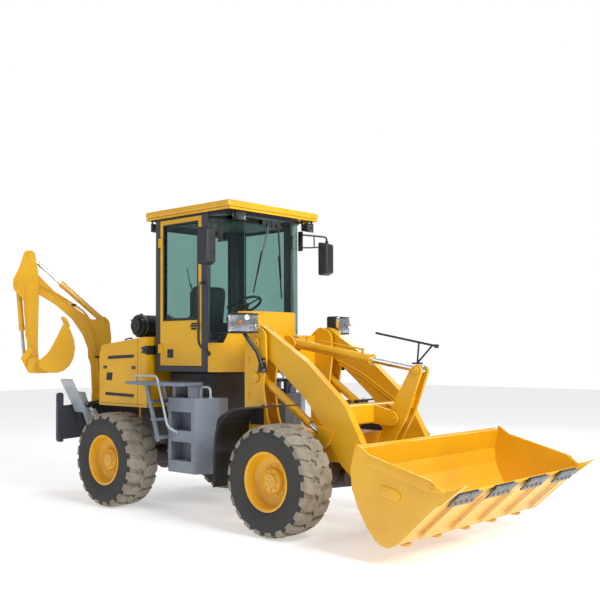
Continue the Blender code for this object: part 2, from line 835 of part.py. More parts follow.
def front_trim(side, name):
    """Mudguard and headlight of one side; both are bolted to the tower's outer plate."""
    inner = ARM_CENTRE + TOWER_GAP / 2 + TOWER_PLATE + TOUCH
    low, high = sorted((side * inner, side * 1.05))
    sheet = [
        (front(0.0), 1.245),
        (front(-0.45), 1.215, 0.1),
        (front(-0.69), 1.11, 0.1),
        (front(-0.752), 0.75, 0.2),
        (front(-0.758), 0.41),
        (front(-0.746), 0.41),
        (front(-0.740), 0.75, 0.2),
        (front(-0.68), 1.10, 0.1),
        (front(-0.45), 1.203, 0.1),
        (front(0.0), 1.233),
    ]
    flange = sorted((side * inner, side * (inner + 0.02)))
    plate = [
        (front(-0.66), 1.14),
        (front(-0.48), 1.225),
        (front(-0.48), 1.02),
        (front(-0.66), 1.02),
    ]
    solid(
        "mudguard_" + name,
        BLACK,
        [slab(sheet, low, high), slab(plate, *flange)],
        pivot=(HINGE_X, 0, 0),
        roughness=0.6,
    )
    lamp = sorted((side * 0.645, side * 0.865))
    foot = sorted((side * inner, side * (inner + 0.035)))
    solid(
        "headlight_" + name,
        BLACK,
        [
            box((front(-0.70), lamp[0], 1.955), (front(-0.53), lamp[1], 2.155), 0.03),
            box((front(-0.56), foot[0], 1.56), (front(-0.46), foot[1], 1.68)),
            beam(
                (front(-0.51), side * (inner + 0.024), 1.61),
                (front(-0.62), side * 0.72, 2.0),
                0.02,
                0.03,
            ),
        ],
        pivot=(HINGE_X, 0, 0),
    )


# ---- loader -----------------------------------------------------------------------------------


def strap(start, end, radius):
    """The outline of a flat link with round ends."""
    start, end = Vector(start), Vector(end)
    along = (end - start).normalized() * radius
    side = Vector((-along.y, along.x))
    round_off = radius * 0.98
    corners = (start - along - side, end + along - side, end + along + side, start - along + side)
    return [(*corner, round_off) for corner in corners]


def at(place):
    """(ahead of the front axle, height) as (X, Z)."""
    return (front(place[0]), place[1])


def loader_arms():
    """Both arms, the cross box between them and the ears that carry the rocker."""
    outline = [
        (-0.765, 1.80, 0.08),
        (-0.73, 2.00, 0.10),
        (-0.57, 2.035, 0.10),
        (0.06, 1.66, 0.4),
        (0.55, 1.255, 0.4),
        (0.80, 0.82, 0.3),
        (1.21, 0.44, 0.10),
        (1.17, 0.26, 0.08),
        (1.02, 0.26, 0.08),
        (0.45, 0.73, 0.4),
        (0.29, 1.01, 0.3),
        (0.06, 1.285, 0.4),
        (-0.47, 1.70, 0.2),
        (-0.70, 1.69, 0.08),
    ]
    points = [(front(p[0]), *p[1:]) for p in outline]
    low, high = ARM_CENTRE - ARM_THICKNESS / 2, ARM_CENTRE + ARM_THICKNESS / 2
    eye = at(LIFT_EYE)
    ear = [
        (eye[0] - 0.09, eye[1] + 0.14),
        (eye[0] - 0.055, eye[1] - 0.03, 0.03),
        (eye[0], eye[1] - 0.07, 0.03),
        (eye[0] + 0.055, eye[1] - 0.03, 0.03),
        (eye[0] + 0.14, eye[1] + 0.10),
    ]
    pivot = at(ROCKER_PIVOT)
    bracket = [
        (front(0.50), 1.06),
        (front(0.50), 1.25),
        (pivot[0], pivot[1] + 0.075, 0.05),
        (pivot[0] + 0.075, pivot[1], 0.05),
        (pivot[0], pivot[1] - 0.075, 0.05),
    ]
    arm, foot = at(ARM_PIVOT), at(BUCKET_PIVOT)
    add = both(
        slab(points, low, high),
        slab(ear, low - 0.025, low + 0.004),
        slab(ear, high - 0.004, high + 0.025),
        slab(bracket, 0.09, 0.115),
    )
    centre = [
        box((front(0.38), -low - 0.004, 1.06), (front(0.56), low + 0.004, 1.25), 0.02),
        cross_bar(pivot, -0.10, 0.10, 0.035),
    ]
    bores = [
        cross_bar(arm, -1, 1, 0.04 + PIN_GAP),
        cross_bar(foot, -1, 1, 0.035 + PIN_GAP),
    ]
    solid("loader_arms", YELLOW, [add[0], centre[0], *add[1:], centre[1]], bores, (arm[0], 0, arm[1]))


def rocker():
    """Two rocker plates on one hub, between the cross box's ears."""
    top, mid, foot = at(ROCKER_TOP), at(ROCKER_PIVOT), at(ROCKER_FOOT)
    plate = [
        (top[0] - 0.065, top[1] + 0.01, 0.05),
        (top[0] + 0.01, top[1] + 0.075, 0.05),
        (top[0] + 0.07, top[1], 0.05),
        (mid[0] + 0.13, mid[1] + 0.03, 0.1),
        (foot[0] + 0.07, foot[1], 0.04),
        (foot[0] + 0.01, foot[1] - 0.065, 0.04),
        (foot[0] - 0.06, foot[1], 0.04),
        (mid[0] - 0.10, mid[1] + 0.03, 0.1),
    ]
    spacer = [
        (mid[0] + 0.05, mid[1] + 0.14),
        (mid[0] + 0.12, mid[1] + 0.10),
        (mid[0] + 0.16, mid[1] + 0.20),
        (mid[0] + 0.10, mid[1] + 0.24),
    ]
    solid(
        "rocker",
        YELLOW,
        [
            cross_bar(mid, -0.078, 0.078, 0.06),
            *both(slab(plate, 0.042, 0.07)),
            *both(bar((foot[0], 0.042 - LAP, foot[1]), (foot[0], 0.078, foot[1]), 0.03, 16)),
            slab(spacer, -0.055, 0.055),
        ],
        [cross_bar(mid, -0.2, 0.2, 0.035 + PIN_GAP)],
        (mid[0], 0, mid[1]),
    )
    link = at(BUCKET_LINK)
    solid(
        "bucket_link",
        YELLOW,
        [
            beam((foot[0], 0, foot[1]), (link[0], 0, link[1]), 0.055, 0.075),
            cross_bar(foot, -0.032, 0.032, 0.055),
            cross_bar(link, -0.032, 0.032, 0.055),
        ],
        [cross_bar(link, -0.1, 0.1, 0.03 + PIN_GAP)],
        (link[0], 0, link[1]),
    )


def beside(path, distance):
    """A path moved to its left by a distance."""
    points = [Vector(p) for p in path]
    moved = []
    for i, point in enumerate(points):
        before = points[max(i - 1, 0)]
        after = points[min(i + 1, len(points) - 1)]
        along = (after - before).normalized()
        moved.append(tuple(point + Vector((-along.y, along.x)) * distance))
    return moved


def strip(path, thickness):
    """The outline of a sheet that follows a path, thickness to its right."""
    return list(path) + beside(path, -thickness)[::-1]


def loader_bucket():
    """Wide rolled-back bucket: bent sheet, side plates with rear ears, and hinge ears behind."""
    path = [
        (2.088, 0.626),
        (1.66, 0.232),
        (1.60, 0.185),
        (1.53, 0.158),
        (1.46, 0.165),
        (1.40, 0.20),
        (1.30, 0.31),
        (1.21, 0.46),
        (1.15, 0.61),
        (1.135, 0.76),
        (1.183, 0.951),
    ]
    edge = BUCKET_WIDTH / 2
    sheet = slab([at(p) for p in strip(path, BUCKET_PLATE)], LAP - edge, edge - LAP)
    rim = [(1.205, 0.985, 0.03), (1.335, 0.90), (1.958, 0.742, 0.02), (2.10, 0.645)]
    side = beside(path, LAP) + [(1.15, 0.985, 0.03)] + rim
    plate = slab([(front(p[0]), *p[1:]) for p in side], edge - BUCKET_PLATE, edge)
    lip = slab(
        [(front(2.267), 0.732), (front(2.03), 0.60), (front(2.01), 0.545), (front(2.05), 0.560)],
        edge - 0.05,
        edge - LAP,
    )
    foot, link = at(BUCKET_PIVOT), at(BUCKET_LINK)
    ear = [
        (foot[0] - 0.07, foot[1], 0.05),
        (foot[0], foot[1] + 0.075, 0.05),
        (front(1.17), 0.58),
        (front(1.30), 0.325),
        (foot[0] + 0.06, foot[1] - 0.065, 0.04),
        (foot[0] - 0.03, foot[1] - 0.065, 0.04),
    ]
    inner, outer = ARM_CENTRE - ARM_THICKNESS / 2 - 0.015, ARM_CENTRE + ARM_THICKNESS / 2 + 0.015
    centre = [
        (link[0] - 0.055, link[1], 0.04),
        (link[0], link[1] + 0.065, 0.04),
        (front(1.145), link[1] + 0.12),
        (front(1.158), link[1] + 0.03),
        (front(1.205), link[1] - 0.14),
        (link[0], link[1] - 0.06, 0.04),
    ]
    add = both(
        plate,
        lip,
        slab(ear, inner - 0.022, inner),
        slab(ear, outer, outer + 0.022),
        slab(centre, 0.045, 0.07),
        cross_bar(foot, inner - 0.01, outer + 0.01, 0.035),
    )
    add.append(cross_bar(link, -0.06, 0.06, 0.03))
    solid("loader_bucket", YELLOW, [sheet, *add], (), (foot[0], 0, foot[1]))


def loader_rams():
    """Two lift cylinders and the single tilt cylinder."""
    for name, side in (("right", -1), ("left", 1)):
        base, eye = at(LIFT_BASE), at(LIFT_EYE)
        y = side * ARM_CENTRE
        ram(
            "lift_" + name,
            (base[0], y, base[1]),
            (eye[0], y, eye[1]),
            0.042,
            0.025,
            0.80,
            0.12,
            (ARM_THICKNESS - 0.006, ARM_THICKNESS - 0.014),
        )
    base, eye = at(ARM_PIVOT), at(ROCKER_TOP)
    ram("tilt", (base[0], 0, base[1]), (eye[0], 0, eye[1]), 0.05, 0.03, 1.06, 0.96, (0.07, 0.07))


# ---- backhoe, in the plane of its boom --------------------------------------------------------


def stabilizer_frame():
    """Rear cross plate with end lugs, leg pins and the two ears of the swing hinge."""
    x0 = rear(FRAME_PLATE_X - FRAME_PLATE / 2)
    x1 = rear(FRAME_PLATE_X + FRAME_PLATE / 2)
    swing = rear(SWING_X)
    half = FRAME_HALF_WIDTH
    outline = [
        (0.50, 0.38),
        (0.50, 0.72),
        (half - 0.08, 0.70),
        (half - 0.08, 0.67, 0.01),
        (half, 0.67, 0.03),
        (half, 1.27, 0.03),
        (half - 0.08, 1.27, 0.03),
        (half - 0.08, 1.11),
        (0.42, 1.125),
        (0.40, 1.16),
        (0.0, 1.16),
        (0.0, 0.38),
    ]
    whole = outline[:-2] + [(-a, *rest) for a, *rest in reversed(outline[:-2])]
    pins = [
        bar((x0 + 0.01, y, z), (x1 + 0.145, y, z), r, 16)
        for (y, z), r in ((LEG_PIVOT, 0.03), (LEG_CYL_BASE, 0.02))
    ]
    ears = []
    for z in (0.485, 1.10):
        ears.append(
            slab(
                [
                    (x0 + 0.02, -0.25),
                    (x0 + 0.02, 0.25),
                    (swing + 0.14, 0.16),
                    (swing + 0.13, 0.11),
                    (swing - 0.115, 0.11, 0.09),
                    (swing - 0.115, -0.11, 0.09),
                    (swing + 0.13, -0.11),
                    (swing + 0.14, -0.16),
                ],
                z,
                z + 0.045,
                "z",
            )
        )
    solid(
        "stabilizer_frame",
        DARK_GREY,
        [slab(whole, x0, x1, "x")] + ears + both(*pins),
        [bar((swing, 0, 0.3), (swing, 0, 1.4), 0.04 + PIN_GAP, 24)],
        roughness=0.5,
    )


def stabilizer(name, side):
    """Folded leg, its pad and its cylinder, on pins along X."""
    leg_x = rear(LEG_X)
    thick = 0.06

    def across(place):
        return (side * place[0], place[1])

    foot, tip = Vector(across(LEG_PIVOT)), Vector(across(PAD_PIVOT))
    eye = Vector(across(LEG_CYL_EYE))
    along = (tip - foot).normalized()
    out = Vector((along.y, -along.x))
    leg = [
        tuple(foot + out * 0.055 - along * 0.05) + (0.04,),
        tuple(foot - out * 0.055 - along * 0.05) + (0.04,),
        tuple(tip - out * 0.045 + along * 0.05) + (0.03,),
        tuple(tip + out * 0.045 + along * 0.05) + (0.03,),
    ]
    solid(
        "stabilizer_leg_" + name,
        STEP_GREY,
        [
            slab(leg, leg_x - thick / 2, leg_x + thick / 2, "x"),
            bar((leg_x, eye.x, eye.y), (rear(LEG_CYL_X) - 0.03, eye.x, eye.y), 0.035, 20),
            bar((leg_x, eye.x, eye.y), (rear(LEG_CYL_X) - 0.024, eye.x, eye.y), 0.02, 20),
        ],
        [
            bar((leg_x - 0.1, foot.x, foot.y), (leg_x + 0.1, foot.x, foot.y), 0.03 + PIN_GAP, 16),
            bar((leg_x - 0.1, tip.x, tip.y), (leg_x + 0.1, tip.x, tip.y), 0.02 + PIN_GAP, 16),
        ],
        pivot=(leg_x, foot.x, foot.y),
        roughness=0.5,
    )
    top, low = Vector(across(PAD_TOP)), Vector(across(PAD_FOOT))
    run = (low - top).normalized()
    inward = Vector((run.y, -run.x))
    if inward.dot(tip - top) < 0:
        inward = -inward
    sole = [tuple(p) for p in (top, low, low + inward * 0.025, top + inward * 0.025)]
    gusset = [
        tuple(top + inward * 0.02 + run * 0.03),
        tuple(low + inward * 0.02 - run * 0.03),
        tuple(tip + run * 0.05 + inward * 0.03) + (0.03,),
        tuple(tip - run * 0.04 + inward * 0.05) + (0.03,),
        tuple(tip - run * 0.06 - inward * 0.02) + (0.02,),
    ]
    clear = thick / 2 + 0.006
    solid(
        "stabilizer_pad_" + name,
        STEP_GREY,
        [
            slab(sole, leg_x - 0.046, leg_x + 0.185, "x"),
            slab(gusset, leg_x - clear - 0.007, leg_x - clear, "x"),
            slab(gusset, leg_x + clear, leg_x + clear + 0.012, "x"),
            bar((leg_x - clear - LAP, tip.x, tip.y), (leg_x + clear + LAP, tip.x, tip.y), 0.02, 16),
        ],
        pivot=(leg_x, tip.x, tip.y),
        roughness=0.5,
    )
    base = across(LEG_CYL_BASE)
    ram(
        "stabilizer_" + name,
        (rear(LEG_CYL_X), *base),
        (rear(LEG_CYL_X), eye.x, eye.y),
        0.035,
        0.02,
        0.46,
        0.10,
        (0.045, 0.045),
        flat=(1, 0, 0),
        pin=0.02,
    )


def swing_post(parent):
    """Casting on the swing pin, with cheeks for the boom's foot and the boom cylinder."""
    foot, base = BOOM_FOOT, BOOM_CYL_BASE
    cheek = [
        (-0.04, 0.56),
        (base[0] - 0.11, 0.56),
        (base[0] - 0.085, base[1] - 0.07, 0.05),
        (base[0] + 0.085, base[1] - 0.07, 0.06),
        (base[0] + 0.09, 0.80, 0.2),
        (foot[0] + 0.09, foot[1] + 0.085, 0.07),
        (foot[0] - 0.085, foot[1] + 0.085, 0.07),
        (foot[0] - 0.10, 1.075),
        (-0.04, 1.075),
    ]
    low, high = 0.485 + 0.045 + SWEEP_GAP, 1.10 - SWEEP_GAP
    solid(
        "swing_post",
        YELLOW,
        [
            bar((0, 0, low), (0, 0, high), 0.10, 24),
            bar((0, 0, 0.46), (0, 0, 1.17), 0.04, 24),
            *both(slab(cheek, *POST_CHEEK)),
            cross_bar(foot, -POST_CHEEK[1] - 0.01, POST_CHEEK[1] + 0.01, 0.03),
            cross_bar(base, -POST_CHEEK[1] - 0.01, POST_CHEEK[1] + 0.01, 0.03),
        ],
        [box((0.13, 0.0001 - POST_CHEEK[0], 0.3), (1, POST_CHEEK[0] - 0.0001, 0.45))],
        pivot=(0, 0, 0.8),
        parent=parent,
    )


def boom(parent):
    """Banana boom with a forked foot, ears for the dipper cylinder and the dipper's pivot end."""
    foot, ear, end, cyl = BOOM_FOOT, BOOM_CYL_EYE, DIPPER_PIVOT, DIPPER_CYL_BASE
    outline = [
        (foot[0] - 0.08, foot[1] - 0.02, 0.06),
        (foot[0] + 0.02, foot[1] - 0.08, 0.06),
        (foot[0] + 0.09, foot[1] + 0.02, 0.05),
        (0.34, 1.60, 0.2),
        (ear[0] + 0.045, ear[1] - 0.04, 0.04),
        (ear[0] + 0.048, ear[1] + 0.07, 0.04),
        (0.444, 1.992, 0.2),
        (0.576, 2.194, 0.2),
        (0.775, 2.373, 0.2),
        (end[0] + 0.02, end[1] - 0.11, 0.08),
        (end[0] + 0.11, end[1] + 0.03, 0.08),
        (end[0] - 0.05, end[1] + 0.11, 0.08),
        (0.81, 2.56, 0.1),
        (0.60, 2.385, 0.3),
        (0.34, 2.19, 0.05),
        (cyl[0] + 0.07, cyl[1] + 0.02, 0.04),
        (cyl[0] - 0.01, cyl[1] + 0.075, 0.05),
        (cyl[0] - 0.075, cyl[1] - 0.01, 0.05),
        (0.08, 1.95, 0.1),
        (0.11, 1.60, 0.2),
    ]
    fork = [
        (0.0, 1.0),
        (0.5, 1.0),
        (0.5, ear[1] + 0.095),
        (ear[0] - 0.02, ear[1] + 0.10, 0.03),
        (ear[0] - 0.09, ear[1] - 0.10, 0.1),
        (0.0, 1.45),
    ]
    saddle = [
        (0.0, cyl[1] - 0.085),
        (cyl[0] + 0.03, cyl[1] - 0.085),
        (cyl[0] + 0.22, cyl[1] + 0.065),
        (cyl[0] + 0.2, 2.5),
        (0.0, 2.5),
    ]
    slot = 0.042
    solid(
        "boom",
        YELLOW,
        [slab(outline, -BOOM_HALF, BOOM_HALF)],
        [
            slab(fork, -slot, slot),
            slab(saddle, -slot, slot),
            cross_bar(foot, -1, 1, 0.03 + PIN_GAP),
            cross_bar(end, -1, 1, 0.03 + PIN_GAP),
        ],
        pivot=(foot[0], 0, foot[1]),
        parent=parent,
        last=[cross_bar(cyl, -BOOM_HALF - 0.01, BOOM_HALF + 0.01, 0.03)],
    )


def dipper(parent):
    """Dipper with a forked head around the boom's end and a bored tip for the bucket."""
    top, pivot, tip = DIPPER_CYL_EYE, DIPPER_PIVOT, HOE_PIVOT
    cyl, lever = HOE_CYL_BASE, LEVER_PIVOT
    outline = [
        (top[0] - 0.06, top[1] + 0.06, 0.05),
        (top[0] + 0.06, top[1] + 0.06, 0.05),
        (pivot[0] + 0.13, pivot[1] + 0.15, 0.1),
        (cyl[0] + 0.06, cyl[1] + 0.055, 0.05),
        (cyl[0] + 0.06, cyl[1] - 0.06, 0.05),
        (1.181, 2.435, 0.1),
        (1.167, 2.24, 0.1),
        (1.13, 1.841, 0.1),
        (tip[0] + 0.06, tip[1] - 0.02, 0.05),
        (tip[0] - 0.01, tip[1] - 0.062, 0.04),
        (tip[0] - 0.06, tip[1] + 0.02, 0.04),
        (1.002, 1.861, 0.1),
        (0.997, 2.24, 0.1),
        (pivot[0] - 0.11, pivot[1] - 0.02, 0.1),
        (pivot[0] - 0.09, pivot[1] + 0.15, 0.1),
    ]
    head = [(0.7, 2.30), (1.6, 2.30), (1.6, 3.3), (0.7, 3.3)]
    slot = BOOM_HALF + 0.008
    solid(
        "dipper",
        YELLOW,
        [slab(outline, -DIPPER_HALF, DIPPER_HALF)],
        [
            slab(head, -slot, slot),
            cross_bar(tip, -1, 1, 0.025 + PIN_GAP),
            cross_bar(lever, -1, 1, 0.02 + PIN_GAP),
        ],
        pivot=(pivot[0], 0, pivot[1]),
        parent=parent,
        last=[
            cross_bar(pivot, -DIPPER_HALF - 0.012, DIPPER_HALF + 0.012, 0.03),
            cross_bar(cyl, -DIPPER_HALF - 0.012, DIPPER_HALF + 0.012, 0.025),
        ],
    )


def hoe_linkage(parent):
    """Tipping levers on the dipper, and the link from them to the bucket."""
    pivot, eye, link = LEVER_PIVOT, HOE_CYL_EYE, HOE_LINK
    low, high = LEVER_PLATE
    pin = bar((eye[0], 0.038, eye[1]), (eye[0], high - LAP, eye[1]), 0.02, 16)
    solid(
        "tipping_lever",
        YELLOW,
        [
            cross_bar(pivot, -high - LAP, high + LAP, 0.02),
            *both(slab(strap(pivot, eye, 0.036), low, high), pin),
        ],
        pivot=(pivot[0], 0, pivot[1]),
        parent=parent,
    )
    low, high = LINK_PLATE
    along = Vector((link[0] - eye[0], link[1] - eye[1])).normalized()
    middle = Vector(((eye[0] + link[0]) / 2 - along.y * 0.01, (eye[1] + link[1]) / 2 + along.x * 0.01))
    stub = bar((link[0], low - LAP, link[1]), (link[0], HOE_EAR[0] - LAP, link[1]), 0.02, 16)
    solid(
        "tipping_link",
        YELLOW,
        [
            cross_bar(middle, LAP - high, high - LAP, 0.018),
            *both(slab(strap(eye, link, 0.032), low, high), stub),
        ],
        [cross_bar(eye, -0.2, 0.2, 0.02 + PIN_GAP)],
        pivot=(eye[0], 0, eye[1]),
        parent=parent,
    )


def hoe_bucket(parent):
    """Curled digging bucket: bent sheet, side plates, ears and four teeth."""
    link, tip = HOE_LINK, HOE_PIVOT
    half = HOE_WIDTH / 2
    path = [
        (0.988, 1.597),
        (0.926, 1.541),
        (0.85, 1.508),
        (0.765, 1.504),
        (0.68, 1.532),
        (0.61, 1.598),
        (0.567, 1.689),
        (0.548, 1.80),
        (0.56, 1.921),
        (0.605, 2.043),
        (0.666, 2.144),
    ]
    sheet = slab(strip(path, 0.016), LAP - half, half - LAP)
    rim = [(0.695, 2.114, 0.02), (0.78, 1.932, 0.2), (0.87, 1.76, 0.2), (0.978, 1.663, 0.02)]
    plate = slab(beside(path, LAP) + rim, half - 0.015, half)
    ear = [
        (tip[0] - 0.03, tip[1] + 0.055, 0.03),
        (tip[0] + 0.055, tip[1] + 0.03, 0.04),
        (link[0] + 0.045, link[1] + 0.01, 0.03),
        (link[0] + 0.01, link[1] - 0.04, 0.03),
        (0.926, 1.497),
        (0.85, 1.502),
        (0.88, 1.567),
    ]
    low, high = HOE_EAR
    tooth = [(0.628, 2.088), (0.68, 2.144), (0.712, 2.214), (0.694, 2.220), (0.643, 2.185), (0.605, 2.093)]
    teeth = []
    count = 4
    for i in range(count):
        w = (half - 0.04) * (2 * i / (count - 1) - 1)
        teeth.append(slab(tooth, w - 0.028, w + 0.028))
    solid(
        "hoe_bucket",
        YELLOW,
        [
            sheet,
            *both(plate, slab(ear, low, high)),
            *teeth,
            cross_bar(tip, -high - 0.01, high + 0.01, 0.025),
        ],
        pivot=(tip[0], 0, tip[1]),
        parent=parent,
    )


def backhoe():
    """Everything behind the swing pin, built straight and turned to its parked angle."""
    axis = bpy.data.objects.new("swing_axis", None)
    machine.objects.link(axis)
    axis.location = (rear(SWING_X), 0, 0)
    axis.rotation_euler = (0, 0, math.radians(180 + SWING_ANGLE))
    swing_post(axis)
    boom(axis)
    dipper(axis)
    hoe_linkage(axis)
    hoe_bucket(axis)

    def flat(place):
        return (place[0], 0, place[1])

    def hoe_ram(name, base, eye, barrel, rod, length, inside, widths, pin=0.03):
        ends = (flat(base), flat(eye))
        ram(name, *ends, barrel, rod, length, inside, widths, parent=axis, pin=pin)

    narrow, wide = 0.07, 0.14
    hoe_ram("boom", BOOM_CYL_BASE, BOOM_CYL_EYE, 0.038, 0.022, 0.66, 0.55, (narrow, narrow))
    hoe_ram("dipper", DIPPER_CYL_BASE, DIPPER_CYL_EYE, 0.038, 0.022, 0.72, 0.66, (narrow, wide))
    hoe_ram("hoe", HOE_CYL_BASE, HOE_CYL_EYE, 0.033, 0.02, 0.58, 0.42, (wide, narrow), 0.025)


for old in list(bpy.data.objects):
    bpy.data.objects.remove(old)
machine = collection("backhoe_loader", False)
stock = collection("stock", True)

for end, x in (("front", front(0)), ("rear", rear(0))):
    for hand, side in (("right", -1), ("left", 1)):
        wheel(f"wheel_{end}_{hand}", x, side)
axle("front_axle", front(0), FRONT_BOX_HALF)
axle("rear_axle", rear(0), REAR_RAIL_OUTER)
rear_chassis()
cab()
door()
rear_body()
steps("steps_right", -1)
steps("steps_left", 1)
front_chassis()
front_trim(-1, "right")
front_trim(1, "left")
loader_arms()
rocker()
loader_bucket()
loader_rams()
stabilizer_frame()
stabilizer("right", -1)
stabilizer("left", 1)
backhoe()
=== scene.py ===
import json
import math

import bmesh
import bpy
from mathutils import Matrix, Vector


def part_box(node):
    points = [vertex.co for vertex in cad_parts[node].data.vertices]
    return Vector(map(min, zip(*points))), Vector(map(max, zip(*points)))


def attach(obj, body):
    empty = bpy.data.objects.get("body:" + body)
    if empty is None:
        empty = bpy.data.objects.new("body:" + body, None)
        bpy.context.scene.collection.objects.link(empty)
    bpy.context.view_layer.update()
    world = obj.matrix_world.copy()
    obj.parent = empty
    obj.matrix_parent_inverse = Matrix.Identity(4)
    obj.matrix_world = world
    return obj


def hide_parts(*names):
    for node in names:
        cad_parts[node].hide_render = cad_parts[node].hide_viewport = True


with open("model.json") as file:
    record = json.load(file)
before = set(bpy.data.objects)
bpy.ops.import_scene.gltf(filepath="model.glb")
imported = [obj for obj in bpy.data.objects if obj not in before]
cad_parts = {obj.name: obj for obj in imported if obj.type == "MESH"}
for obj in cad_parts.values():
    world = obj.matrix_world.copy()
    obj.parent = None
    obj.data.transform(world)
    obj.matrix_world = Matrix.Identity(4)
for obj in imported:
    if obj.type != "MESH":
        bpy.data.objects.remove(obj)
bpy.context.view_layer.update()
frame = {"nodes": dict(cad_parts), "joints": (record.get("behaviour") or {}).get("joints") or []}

nodes = frame["nodes"]
jointAt = {j["name"]: Vector(j["pos_m"]) for j in frame["joints"] if "pos_m" in j}
frontAxle = jointAt["wheel_front_right_roll"]
rearAxle = jointAt["wheel_rear_right_roll"]
sides = {"right": -1, "left": 1}
finishes = {}


def ahead(distance):  # X of a place in front of the front axle
    return frontAxle.x + distance


def aft(distance):  # X of a place in front of the rear axle
    return rearAxle.x + distance


# ---- shader groups that several finishes share


def groupSocket(tree, name, kind, value=None, out=False):
    socket = tree.interface.new_socket(name, in_out="OUTPUT" if out else "INPUT", socket_type=kind)
    if value is not None:
        socket.default_value = value
    return socket


def addNode(tree, kind, place, **values):
    node = tree.nodes.new(kind)
    node.location = place
    for key, value in values.items():
        setattr(node, key, value)
    return node


def buildPaintGroup():
    # Sprayed paint: slow tone changes, fine orange peel, rubbed spots and road dust near the ground
    tree = bpy.data.node_groups.new("sprayedPaint", "ShaderNodeTree")
    groupSocket(tree, "Paint", "NodeSocketColor", (0.8, 0.4, 0.02, 1))
    groupSocket(tree, "Shade", "NodeSocketColor", (0.6, 0.3, 0.01, 1))
    groupSocket(tree, "Dust", "NodeSocketColor", (0.42, 0.36, 0.28, 1))
    groupSocket(tree, "Dust Top", "NodeSocketFloat", 1.1)
    groupSocket(tree, "Dust Amount", "NodeSocketFloat", 0.35)
    groupSocket(tree, "Gloss Low", "NodeSocketFloat", 0.24)
    groupSocket(tree, "Gloss High", "NodeSocketFloat", 0.42)
    groupSocket(tree, "Peel", "NodeSocketFloat", 0.06)
    groupSocket(tree, "Color", "NodeSocketColor", out=True)
    groupSocket(tree, "Roughness", "NodeSocketFloat", out=True)
    groupSocket(tree, "Normal", "NodeSocketVector", out=True)
    link = tree.links.new
    given = addNode(tree, "NodeGroupInput", (-1100, 0))
    result = addNode(tree, "NodeGroupOutput", (900, 0))
    where = addNode(tree, "ShaderNodeTexCoord", (-1100, -400))
    slow = addNode(tree, "ShaderNodeTexNoise", (-800, 200))
    slow.inputs["Scale"].default_value = 2.2
    slow.inputs["Detail"].default_value = 5
    spots = addNode(tree, "ShaderNodeTexNoise", (-800, -50))
    spots.inputs["Scale"].default_value = 34
    spots.inputs["Detail"].default_value = 8
    spots.inputs["Roughness"].default_value = 0.7
    fine = addNode(tree, "ShaderNodeTexNoise", (-800, -300))
    fine.inputs["Scale"].default_value = 420
    for noise in (slow, spots, fine):
        link(where.outputs["Object"], noise.inputs["Vector"])
    tone = addNode(tree, "ShaderNodeMix", (-400, 300), data_type="RGBA")
    slowRange = addNode(tree, "ShaderNodeMapRange", (-600, 250))
    slowRange.inputs["From Min"].default_value = 0.42
    slowRange.inputs["From Max"].default_value = 0.72
    link(slow.outputs["Fac"], slowRange.inputs["Value"])
    link(slowRange.outputs["Result"], tone.inputs["Factor"])
    link(given.outputs["Paint"], tone.inputs["A"])
    link(given.outputs["Shade"], tone.inputs["B"])
    height = addNode(tree, "ShaderNodeSeparateXYZ", (-800, -550))
    link(where.outputs["Object"], height.inputs["Vector"])
    low = addNode(tree, "ShaderNodeMapRange", (-600, -500), interpolation_type="SMOOTHSTEP")
    low.inputs["From Min"].default_value = 0.0
    low.inputs["To Min"].default_value = 1.0
    low.inputs["To Max"].default_value = 0.0
    link(height.outputs["Z"], low.inputs["Value"])
    link(given.outputs["Dust Top"], low.inputs["From Max"])
    patch = addNode(tree, "ShaderNodeMapRange", (-600, -100))
    patch.inputs["From Min"].default_value = 0.4
    patch.inputs["From Max"].default_value = 0.68
    link(spots.outputs["Fac"], patch.inputs["Value"])
    dusty = addNode(tree, "ShaderNodeMath", (-400, -300), operation="MULTIPLY")
    link(low.outputs["Result"], dusty.inputs[0])
    link(patch.outputs["Result"], dusty.inputs[1])
    amount = addNode(tree, "ShaderNodeMath", (-200, -300), operation="MULTIPLY")
    link(dusty.outputs[0], amount.inputs[0])
    link(given.outputs["Dust Amount"], amount.inputs[1])
    dusted = addNode(tree, "ShaderNodeMix", (100, 200), data_type="RGBA")
    link(amount.outputs[0], dusted.inputs["Factor"])
    link(tone.outputs["Result"], dusted.inputs["A"])
    link(given.outputs["Dust"], dusted.inputs["B"])
    gloss = addNode(tree, "ShaderNodeMapRange", (-200, 0))
    link(spots.outputs["Fac"], gloss.inputs["Value"])
    link(given.outputs["Gloss Low"], gloss.inputs["To Min"])
    link(given.outputs["Gloss High"], gloss.inputs["To Max"])
    rough = addNode(tree, "ShaderNodeMath", (200, -50), operation="ADD", use_clamp=True)
    link(gloss.outputs["Result"], rough.inputs[0])
    link(amount.outputs[0], rough.inputs[1])
    peel = addNode(tree, "ShaderNodeBump", (200, -350))
    peel.inputs["Distance"].default_value = 0.0006
    link(fine.outputs["Fac"], peel.inputs["Height"])
    link(given.outputs["Peel"], peel.inputs["Strength"])
    link(dusted.outputs["Result"], result.inputs["Color"])
    link(rough.outputs[0], result.inputs["Roughness"])
    link(peel.outputs["Normal"], result.inputs["Normal"])
    return tree


